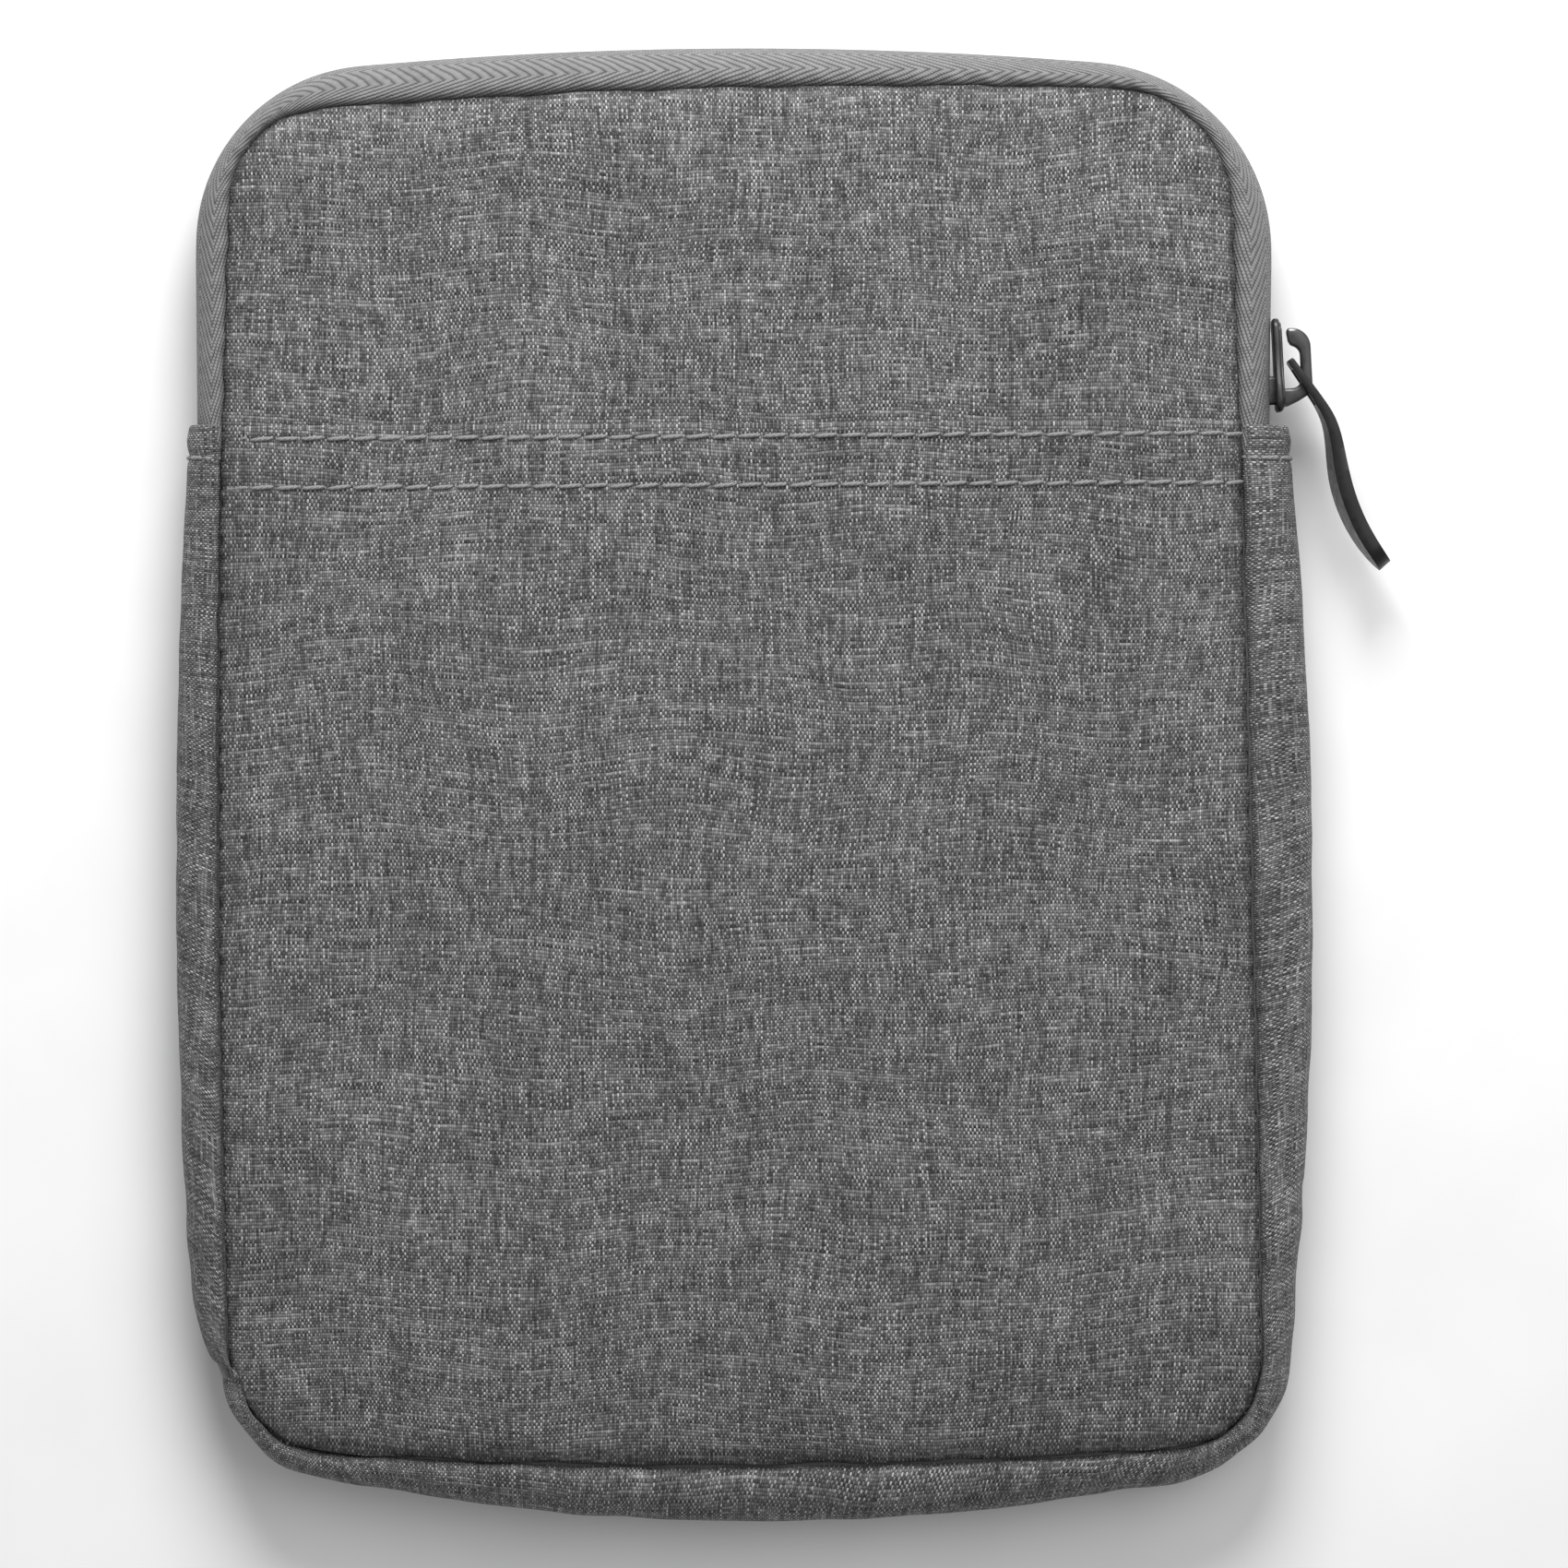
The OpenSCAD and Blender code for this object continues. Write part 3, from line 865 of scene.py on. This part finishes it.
def fold_ends(points, radius, tuck):
    """Folds both ends of the strip under; both point up the sides."""
    def one_end(strip):
        last = strip[-1]
        inward = -level_out(last)
        up = np.array([0, 1, 0])
        rows = []
        for k in range(1, 6):
            angle = math.pi * k / 5
            rows.append(last + up * radius * math.sin(angle) + inward * radius * (1 - math.cos(angle)))
        rows += [rows[4] - up * tuck * k / 3 for k in range(1, 4)]
        return np.array(rows)

    after = one_end(points)
    before = one_end(points[::-1])[::-1]
    return np.concatenate([before, points, after])


def gusset_cloth(material):
    folded = fold_ends(shape_gusset(gusset_points(zip_start_y - 0.4, GUSSET_RUNGS)), 0.4, 5)
    uv = strip_uv(folded)
    away = np.minimum(uv[..., 1], uv[..., 1].max() - uv[..., 1])
    piece = sheet_from("gusset_cloth", folded, surface_uv(uv), material, away)
    return thicken(piece, THIN_CLOTH_T)


def gusset_lining_cloth(material):
    points = gusset_points(zip_start_y - 1.5, 260, -2.2)
    inner = np.array([0, 0, mid_z])
    points = points + (inner - points) * np.array([0.012, 0.012, 0.22])
    points = points[:, ::-1]
    piece = sheet_from("gusset_lining_cloth", points, surface_uv(strip_uv(points)), material)
    return thicken(piece, LINING_T)


def tape_points(front):
    """One zip tape, from the edge sewn under the cloth to the edge that carries the coil."""
    inner, outer = rungs(tape_line, zip_start_y - 4, 470, over_top=True)
    t = np.linspace(0, 0.965, 15)
    points = side_surface(inner, outer, FRONT_SEAM_Z + 0.3 if front else BACK_SEAM_Z + 0.2, t, 0.88,
                          SEAM_DEPTH if front else 0.1)
    along = arc_length(points[:, 7])[:, None]
    reach = np.linalg.norm(points[..., :2] - inner[:, None], axis=2)
    pinch = np.sin((along - 0.9 * reach) * math.tau / 4.3)
    pinch *= np.exp(-reach / 1.5) * settled(reach, 0.3)
    wave = sample_noise(np.dstack([along * np.ones_like(reach), reach]), 0.07, 21)
    lift = (0.3 * pinch + 0.25 * wave * settled(reach, 2)) * (1 if front else -1)
    points[..., 2] += lift * (1 - t[None, :] ** 2)

    inward = unit(inner - outer)
    tucked = []
    for reach_in, drop in TAPE_TUCK:
        row = points[:, 0].copy()
        row[:, :2] += reach_in * inward
        row[:, 2] -= drop if front else -drop
        tucked.append(row)
    return np.concatenate([np.stack(tucked, 1), points], axis=1)


def zip_tape(name, front, material):
    points = tape_points(front)
    uv = strip_uv(points)
    uv[..., 1] -= uv[:, len(TAPE_TUCK):len(TAPE_TUCK) + 1, 1]
    away = np.maximum(uv[..., 1], 0)
    # past the top left corner the seam runs one herringbone zone further over
    past = np.clip((uv[..., 0] - uv[-1, 0, 0] + 60) / 18, 0, 1)
    uv[..., 1] += TAPE_ZONE / MM * past * past * (3 - 2 * past)
    if not front:
        points, uv, away = points[::-1], uv[::-1], away[::-1]
    return thicken(sheet_from(name, points, surface_uv(uv), material, away), TAPE_T)


def tube(path, across, up, radius, sides):
    """Points and faces of a round tube with closed ends; radius is one number, or one for each place."""
    angle = np.linspace(0, math.tau, sides, endpoint=False)
    ring = across[:, None] * np.cos(angle)[None, :, None] + up[:, None] * np.sin(angle)[None, :, None]
    points = path[:, None] + ring * np.broadcast_to(radius, len(path))[:, None, None]
    faces = []
    for i in range(len(path) - 1):
        for j in range(sides):
            k = (j + 1) % sides
            faces.append((i * sides + j, i * sides + k, (i + 1) * sides + k, (i + 1) * sides + j))
    faces.append(tuple(range(sides))[::-1])
    faces.append(tuple((len(path) - 1) * sides + j for j in range(sides)))
    return points.reshape(-1, 3), faces


def path_frame(path):
    """Directions across a path, for tube()."""
    ahead = unit(np.gradient(path, axis=0))
    across = unit(np.cross(ahead, [0.13, 0.21, 0.97]))
    return across, np.cross(ahead, across)


def zip_coil(name, front, material):
    """One half of the coil: a helix of nylon, sewn inside the tape's edge."""
    first = place_at_y(tape_line, zip_start_y - 2, False)
    last = place_at_y(tape_line, zip_start_y - 2, True) + LOOP_POINTS
    dense = pick(tape_line, np.linspace(first, last, 900))
    length = arc_length(dense)
    turns = int(length[-1] / COIL_PITCH)
    s = np.linspace(0, length[-1], turns * 10)
    line = np.stack([np.interp(s, length, dense[:, k]) for k in range(2)], 1)
    ahead = unit(np.gradient(line, axis=0))
    inward = np.stack([-ahead[:, 1], ahead[:, 0]], 1)
    phase = s / COIL_PITCH * math.tau + (0 if front else math.pi)
    side = 1 if front else -1
    depth = 1.5 + 0.5 * np.cos(phase)
    path = np.dstack([*(line + inward * depth[:, None]).T, mid_z + side * (0.85 + 1.0 * np.sin(phase))])[0]
    points, faces = tube(path, *path_frame(path), COIL_THREAD_R, 6)
    return mesh_from(name, points, faces, np.zeros((len(points), 2)), material)


# ---------------------------------------------------------------- inside

def inner_cloth(name, z, facing, material):
    """Lining of a face: facing is +1 where it looks up and -1 where it looks down."""
    plan = face_grid(*LINING_GRID, 2.2)
    away = inside_distance(plan)
    height = z - facing * 0.5 * np.exp(-away / 4) + 0.15 * sample_noise(plan, 0.04, 31 + facing)
    points = np.dstack([plan, height])
    if facing < 0:
        points, plan = points[:, ::-1], plan[:, ::-1]
    return thicken(sheet_from(name, points, surface_uv(plan), material), LINING_T)


def seam_binding(name, z, lean, material):
    """Tape folded over the seam allowance: a flat oval band round the inside of a seam."""
    line = inset_loop(seam, 2.6)[::4]
    inward = unit(inset_loop(seam, 3.6)[::4] - line)
    angle = np.linspace(0, math.tau, 13)
    width, thick = 2.1, 0.55
    points = np.zeros((len(line), len(angle), 3))
    across = np.sign(np.cos(angle)) * np.abs(np.cos(angle)) ** 0.6 * width
    off = np.sign(np.sin(angle)) * np.abs(np.sin(angle)) ** 0.8 * thick
    points[..., :2] = line[:, None] + inward[:, None] * (1.0 + across * 0.8 + off * 0.6)[None, :, None]
    points[..., 2] = z + lean * (across * 0.6 - off * 0.8)
    ripple = sample_noise(points[..., :2], 0.12, 41)
    points[..., 2] += 0.15 * ripple
    along = arc_length(line)[:, None] * np.ones((1, len(angle)))
    uv = np.dstack([along, angle[None, :] * np.ones((len(line), 1))]).reshape(-1, 2) * MM
    order = points if lean > 0 else points[:, ::-1]
    return mesh_from(name, order.reshape(-1, 3), grid_faces(len(line), len(angle), wrap=True), uv, material)


def foam_sheet(name, low, high, material):
    """Foam slab with rounded edges, between a panel and its lining."""
    rows, columns = FOAM_GRID
    inset = 2.9
    plan = face_grid(rows, columns, inset)
    away = inside_distance(plan) - inset
    round_off = np.sqrt(np.clip(settled(away, 0.8), 0, 1))
    middle, half = (low + high) / 2, (high - low) / 2
    ends = half * (0.25 + 0.75 * round_off)
    top = np.dstack([plan, middle + ends])
    under = np.dstack([plan, middle - ends])
    points = np.concatenate([top.reshape(-1, 3), under.reshape(-1, 3)])
    count = rows * columns
    faces = grid_faces(rows, columns)
    faces += [tuple(i + count for i in reversed(f)) for f in grid_faces(rows, columns)]
    rim = list(range(columns))
    rim += [i * columns + columns - 1 for i in range(1, rows)]
    rim += [(rows - 1) * columns + j for j in range(columns - 2, -1, -1)]
    rim += [i * columns for i in range(rows - 2, 0, -1)]
    for a, b in zip(rim, rim[1:] + rim[:1]):
        faces.append((b, a, a + count, b + count))
    return mesh_from(name, points, faces, np.tile(surface_uv(plan), (2, 1)), material)


# ---------------------------------------------------------------- stitches

def stitch_mesh(name, runs, material):
    """Thread segments; each run is the two ends of one stitch and the direction away from the cloth."""
    sides = 8
    t = np.linspace(0, 1, 9)
    swell = np.sin(np.pi * t)
    fat = THREAD_R * (0.55 + 0.45 * swell ** 0.4)
    angle = np.linspace(0, math.tau, sides, endpoint=False)
    threads, uvs = [], []
    for k, (start, end, up) in enumerate(runs):
        start, end, up = (np.array(p, float) for p in (start, end, up))
        path = start + (end - start) * t[:, None] + up * (swell ** 0.5 * 0.34 - 0.2)[:, None]
        threads.append(tube(path, *path_frame(path), fat, sides))
        along = t * np.linalg.norm(end - start) + k * sides * len(t)
        uvs.append(np.stack([np.repeat(along, sides), np.tile(angle * THREAD_R, len(t))], 1) * MM)
    return mesh_from(name, *joined(threads), np.concatenate(uvs), material)


def hem_stitches(material):
    """Two rows of stitches along the pocket's hem, each stitch slanting a little."""
    runs = []
    rng = np.random.default_rng(7)
    for row in HEM_ROWS:
        first_x = pick(seam, [place_at_y(seam, hem_y - row, True)])[0, 0]
        last_x = pick(seam, [place_at_y(seam, hem_y - row, False)])[0, 0] + 0.4
        x = first_x + rng.uniform(-0.2, 0.6)
        while x + 0.6 * HEM_PITCH < last_x:
            x0, x1 = x + 0.2, min(x + HEM_PITCH, last_x) - 0.2
            y0, y1 = hem_line(x0) - row - 0.12, hem_line(x1) - row + 0.16
            jitter = rng.uniform(-0.08, 0.08, 2)
            ends = np.array([[x0, y0 + jitter[0]], [x1, y1 + jitter[1]]])
            z = pocket_height(ends)
            runs.append(((*ends[0], z[0] + 0.08), (*ends[1], z[1] + 0.08), (0, 0, 1)))
            x += HEM_PITCH
    return stitch_mesh("hem_stitches", runs, material)


def along_line(values, length, place):
    """Value of each column at a distance along a line."""
    return np.array([np.interp(place, length, column) for column in values.T])


def end_stitches(material):
    """One line of stitches across each folded end of the gusset."""
    points = shape_gusset(gusset_points(zip_start_y - 0.4, GUSSET_RUNGS))
    off = np.abs(end_distance(points)[:, 0] - END_STITCH)
    half = GUSSET_RUNGS // 2
    runs = []
    for row in (np.argmin(off[:half]), half + np.argmin(off[half:])):
        line = points[row]
        length = arc_length(line)
        out = level_out(line)
        s = 0.5
        while s + 3.0 < length[-1]:
            start, end = (along_line(line, length, x) for x in (s, s + END_STITCH_L))
            up = along_line(out, length, s + 1.5)
            runs.append((start + up * 0.25, end + up * 0.25, up))
            s += END_PITCH
    return stitch_mesh("gusset_end_stitches", runs, material)


# ---------------------------------------------------------------- slider and puller

SLIDER_TILT = math.radians(3)
slider_place = np.array([front_tape_high[0], (slider_low[1] + slider_high[1]) / 2, mid_z])
PLATE_GAP, PLATE_T, SLIDER_L, SLIDER_W = 0.45, 1.2, 13.1, slider_high[2] - slider_low[2]
INNER_X, INNER_T = -2.6, 1.1


def to_row(points):
    """From the slider's own frame (X away from the tape, Y along the zip) to the row frame."""
    c, s = math.cos(SLIDER_TILT), math.sin(SLIDER_TILT)
    turn = np.array([[c, -s, 0], [s, c, 0], [0, 0, 1]])
    return points @ turn.T + slider_place


def prism(outline, depth0, depth1, plane):
    """Closed prism: plane 'yz' spreads the outline over Y and Z and is thick along X; 'xy' over X and Y."""
    outline = np.asarray(outline, float)
    count = len(outline)
    points = []
    for depth in (depth0, depth1):
        level = np.full((count, 1), depth)
        points.append(np.hstack([level, outline]) if plane == "yz" else np.hstack([outline, level]))
    faces = [tuple(range(count))[::-1], tuple(range(count, 2 * count))]
    faces += [(i, (i + 1) % count, (i + 1) % count + count, i + count) for i in range(count)]
    return np.concatenate(points), faces


def arc_points(centre, radius, start, end, steps=10):
    angle = np.radians(np.linspace(start, end, steps))
    return [(centre[0] + radius * math.cos(a), centre[1] + radius * math.sin(a)) for a in angle]


def plate_outline(shrink=0.0):
    """Heart-like plate: wide where the zip opens, waisted, narrow at the other end."""
    half_l, wide, narrow = SLIDER_L / 2 - shrink, SLIDER_W / 2 - shrink, SLIDER_W / 2 - 1.0 - shrink
    upper = arc_points((-half_l + 1.8, wide - 1.8), 1.8, 180, 100, 8)
    upper += [(-half_l + 4.0, wide - 0.25), (-0.5, narrow - 0.1), (2.5, narrow - 0.25)]
    upper += arc_points((half_l - 1.5, narrow - 1.6), 1.5, 80, 0, 8)
    lower = [(y, -z) for y, z in reversed(upper)]
    return upper + lower


def bridge_outline():
    """Hook over the outer plate, open beside the plate at its far end."""
    face_x = PLATE_GAP + PLATE_T
    outer_x = face_x + 4.1
    outside = [(face_x - 0.5, -5.9), (face_x + 0.5, -5.85)]
    outside += [(face_x + 2.1, -5.15)]
    outside += arc_points((outer_x - 1.9, -2.9), 1.9, -62, 0, 8)
    outside += arc_points((outer_x - 2.7, 2.45), 2.7, 0, 96, 12)
    outside += [(face_x + 0.72, 4.95)]
    inside = [(face_x + 0.95, 3.3), (face_x + 1.25, 2.75)]
    inside += arc_points((outer_x - 2.9, 1.3), 1.35, 75, 0, 8)
    inside += arc_points((outer_x - 2.9, -2.0), 1.35, 0, -90, 8)
    inside += [(face_x - 0.5, -3.35)]
    return outside + inside


def round_edges(piece, width, angle, profile=0.5):
    """Rounds the edges that turn by more than an angle in degrees."""
    bevel = piece.modifiers.new("edges", "BEVEL")
    bevel.width = width * MM
    bevel.segments = 3
    bevel.profile = profile
    bevel.limit_method = "ANGLE"
    bevel.angle_limit = math.radians(angle)
    return apply_modifiers(piece)


def casting(name, parts, material):
    """One piece from several closed parts; each part is its edge radius and its points and faces."""
    rounded = []
    for k, (bevel, (corners, sides)) in enumerate(parts):
        part = mesh_from(f"{name}_{k}", to_row(corners), sides, np.zeros((len(corners), 2)), material)
        mesh = round_edges(part, bevel, 40).data
        co = np.zeros(len(mesh.vertices) * 3)
        mesh.vertices.foreach_get("co", co)
        rounded.append((co.reshape(-1, 3) / MM, [tuple(p.vertices) for p in mesh.polygons]))
        bpy.data.objects.remove(part)
        bpy.data.meshes.remove(mesh)
    points, faces = joined(rounded)
    whole = mesh_from(name, points, faces, np.zeros((len(points), 2)), material)
    whole.data.set_sharp_from_angle(angle=math.radians(35))
    return whole


def slider_casting(material):
    """Two plates joined by a post, their rails, and the hook that holds the puller."""
    opening, closing = -SLIDER_L / 2, SLIDER_L / 2
    face_x = PLATE_GAP + PLATE_T
    rail = [(opening + 1.2, 2.9), (closing - 1.3, 2.6), (closing - 1.3, 3.15), (-0.5, 3.3),
            (opening + 3.6, 4.0), (opening + 1.6, 4.0)]
    other_rail = [(y, -z) for y, z in reversed(rail)]
    post = arc_points((opening + 1.6, 0), 0.6, 90, 270, 8)
    post += arc_points((opening + 4.6, 0), 0.45, -90, 90, 8)
    pad = [(-5.6, -1.5), (5.2, -1.5), (5.2, 1.5), (-5.6, 1.5)]
    half_bridge = 1.2
    parts = [
        (0.32, prism(plate_outline(), PLATE_GAP, face_x - 0.25, "yz")),
        (0.12, prism(plate_outline(0.55), face_x - 0.4, face_x, "yz")),
        (0.32, prism(plate_outline(), INNER_X - INNER_T, INNER_X, "yz")),
        (0.15, prism(rail, INNER_X - 0.1, INNER_X + 1.35, "yz")),
        (0.15, prism(other_rail, INNER_X - 0.1, INNER_X + 1.35, "yz")),
        (0.1, prism(post, INNER_X - 0.1, PLATE_GAP + 0.1, "yz")),
        (0.15, prism(pad, PLATE_GAP + 0.3, face_x + 0.12, "yz")),
        (0.42, prism(bridge_outline(), -half_bridge, half_bridge, "xy")),
    ]
    return casting("slider_casting", parts, material)


PULLER_L, PULLER_T = 32.0, 2.1
EYE_L, EYE_W = 6.8, 3.4
TIP_R = 3.4
PULLER_TWIST = 0.12
# where the puller's middle line changes direction, and its direction there in degrees
PULLER_HEADINGS = ((EYE_L, -55), (0.38 * PULLER_L, -82), (0.5 * PULLER_L, -82), (PULLER_L, -47))


def puller_line(s):
    """Points and directions of the puller's middle line at distances s."""
    dense = np.linspace(0, PULLER_L, 641)
    heading = np.radians(np.interp(dense, *zip(*PULLER_HEADINGS)))
    heading = np.convolve(np.pad(heading, 40, mode="edge"), np.ones(81) / 81, "valid")
    step = dense[1]
    x = np.concatenate([[0], np.cumsum(np.cos(heading[:-1]))]) * step
    y = np.concatenate([[0], np.cumsum(np.sin(heading[:-1]))]) * step
    return (np.stack([np.interp(s, dense, x), np.interp(s, dense, y)], 1), np.interp(s, dense, heading))


def puller_half_width(s):
    """Narrow at the eye, widest towards the round tip."""
    body = np.interp(s, [0, 2, EYE_L + 1, PULLER_L * 0.7, PULLER_L], [2.75, 2.95, 3.0, 3.35, TIP_R])
    past = 1 - np.minimum(PULLER_L - s, TIP_R) / TIP_R
    return body * np.maximum(np.sqrt(np.clip(1 - past ** 2, 0, 1)), 0.05)


def puller_half_t(s):
    """Thin at the eye, thickest below the middle."""
    return PULLER_T / 2 * np.interp(s / PULLER_L, [0, 0.3, 0.55, 0.85, 1], [0.45, 0.72, 0.95, 1, 0.95])


def puller_tab(material):
    """Curved tab with an eye: a slab of quads with rounded edges."""
    pivot = np.array(joints["puller_swing"]["pos_m"]) / MM
    crossbar = [-0.62, -0.2, 0.3, 0.75]
    eye = [*np.linspace(1.4, EYE_L - 0.9, 8), EYE_L - 0.1, EYE_L + 0.5]
    body = np.linspace(EYE_L + 1.3, PULLER_L - 3, 30)
    tip = PULLER_L - 3 * np.cos(np.linspace(0.15, math.pi / 2 - 0.04, 9))
    s = np.concatenate([crossbar, eye, body, tip])
    line, heading = puller_line(np.maximum(s, 0))
    line = line + np.minimum(s, 0)[:, None] * np.stack([np.cos(heading), np.sin(heading)], 1)
    half_w = puller_half_width(np.maximum(s, 0))
    half_t = puller_half_t(np.maximum(s, 0))
    half_t[0] *= 0.75

    # places across the tab: its rims, the two sides of the eye and the middle
    rim = half_w * 0.94
    eye_side, eye_rim = EYE_W / 2, EYE_W / 2 + 0.12
    limit = 0.93 * half_w[:, None] * np.array([0.8, 0.7, 1, 0.7, 0.8])
    middle = np.clip([-eye_rim, -eye_side, 0, eye_side, eye_rim], -limit, limit)
    shares = np.column_stack([-half_w, -rim, middle, rim, half_w])

    normal = np.stack([-np.sin(heading), np.cos(heading)], 1)
    # the tab turns a little on its way down and back again
    down = np.clip((s - EYE_L) / (PULLER_L - EYE_L), 0, 1)
    lean = normal[:, None] * (shares * PULLER_TWIST * np.sin(np.pi * down)[:, None])[..., None]
    levels = []
    for side in (1, -1):
        plan = (line + side * normal * half_t[:, None])[:, None] + lean
        levels.append(np.dstack([plan, shares]).reshape(-1, 3))
    points = np.concatenate(levels) + pivot

    rows, columns = shares.shape
    count = rows * columns
    quads = []
    for i in range(rows - 1):
        beside_eye = s[i] >= 0.7 and s[i + 1] <= EYE_L
        for j in range(columns - 1):
            if beside_eye and j in (3, 4):
                continue
            a, b = i * columns + j, (i + 1) * columns + j
            quads.append((a, a + 1, b + 1, b))
    edges = dict.fromkeys(edge for quad in quads for edge in zip(quad, quad[1:] + quad[:1]))
    faces = [quad[::-1] for quad in quads] + [tuple(i + count for i in quad) for quad in quads]
    faces += [(a, b, b + count, a + count) for a, b in edges if (b, a) not in edges]
    piece = mesh_from("puller_tab", points, faces, np.zeros((len(points), 2)), material)
    round_edges(piece, 0.55, 50, 0.4)
    piece.data.set_sharp_from_angle(angle=math.radians(40))
    return piece


# ---------------------------------------------------------------- assembly

def on_body(piece, body, slot, *nodes):
    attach(piece, body)
    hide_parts(*nodes)
    return piece


def across_fold(piece, slot, *nodes):
    """A piece of the front: its transform is baked into its mesh and the CAD nodes it stands for are
    hidden.
    """
    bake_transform(piece)
    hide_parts(*nodes)
    return piece


def declare_cloth(piece, held, *rests_on):
    """Reads the cloth's UV map, which is its flat cut, and its loop triangles; nothing further is done with
    them.
    """
    mesh = piece.data
    uv = np.zeros(len(mesh.loops) * 2)
    mesh.uv_layers["cloth"].data.foreach_get("uv", uv)
    uv = uv.reshape(-1, 2)
    mesh.calc_loop_triangles()
    loops = np.zeros(len(mesh.loop_triangles) * 3, np.int32)
    mesh.loop_triangles.foreach_get("loops", loops)


add_camera()
add_studio()

melange = melange_material("melange_weave", 0.74)
tape_cloth = tape_material()
lining = lining_material()
binding = binding_material()
foam = foam_material()
coil = coil_material()
slider_metal = dark_metal_material("gunmetal", 1.5)
puller_metal = dark_metal_material("black_plating", 0.55)
hem_thread = thread_material("hem_thread", 0.15, 0.3)

front = across_fold(front_cloth(melange), "melange_fabric", "front_panel", "flap_panel")
front_inner = across_fold(inner_cloth("front_lining_cloth", front_lining_high[2] - 0.2, -1, lining),
                          "lining_cloth", "front_lining", "flap_lining")
front_foam = foam_sheet("front_foam", front_lining_high[2] + 0.2, FRONT_TOP_Z - CLOTH_T - 0.2, foam)
across_fold(front_foam, "padding_foam", "front_padding", "flap_padding")
across_fold(seam_binding("front_binding", front_lining_low[2] - 1.3, -1, binding), "binding_tape",
            "front_seam_binding", "flap_seam_binding")
front_tape = across_fold(zip_tape("front_zip_tape", True, tape_cloth), "zip_tape", "zip_tape_front",
                         "flap_zip_tape")
across_fold(zip_coil("front_zip_coil", True, coil), "zip_coil", "zip_coil_front", "flap_zip_coil")

back = on_body(back_cloth(melange), "shell", "melange_fabric", "back_panel")
back_inner = inner_cloth("back_lining_cloth", back_lining_high[2], 1, lining)
on_body(back_inner, "shell", "lining_cloth", "back_lining")
back_foam = foam_sheet("back_foam", back_low[2] + CLOTH_T + 0.2, back_lining_low[2] - 0.1, foam)
on_body(back_foam, "shell", "padding_foam", "back_padding")
on_body(seam_binding("back_binding", back_lining_high[2] + 1.3, 1, binding), "shell", "binding_tape",
        "back_seam_binding")
back_tape = on_body(zip_tape("back_zip_tape", False, tape_cloth), "shell", "zip_tape", "zip_tape_back")
on_body(zip_coil("back_zip_coil", False, coil), "shell", "zip_coil", "zip_coil_back")
gusset = on_body(gusset_cloth(melange), "shell", "melange_fabric", "gusset_band")
gusset_inner = on_body(gusset_lining_cloth(lining), "shell", "lining_cloth", "gusset_lining")
pocket = on_body(pocket_cloth(melange), "shell", "melange_fabric", "pocket_panel")
pocket_inner = on_body(pocket_lining_cloth(lining), "shell", "lining_cloth", "pocket_lining")
on_body(hem_stitches(hem_thread), "shell", "sewing_thread", "pocket_hem_stitching")
gusset_thread = end_stitches(hem_thread)
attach(gusset_thread, "shell")
on_body(slider_casting(slider_metal), "slider", "dark_metal", "zip_slider")
on_body(puller_tab(puller_metal), "puller", "dark_metal", "zip_puller")

declare_cloth(front, "stretched", front_foam)
declare_cloth(front_inner, "stretched", front_foam)
declare_cloth(back, "stretched", back_foam)
declare_cloth(back_inner, "stretched", back_foam)
declare_cloth(pocket, "folded", front)
declare_cloth(pocket_inner, "laid", front)
declare_cloth(gusset, "gathered", front, back)
declare_cloth(gusset_inner, "gathered", gusset)
declare_cloth(front_tape, "stretched", front)
declare_cloth(back_tape, "stretched", back)
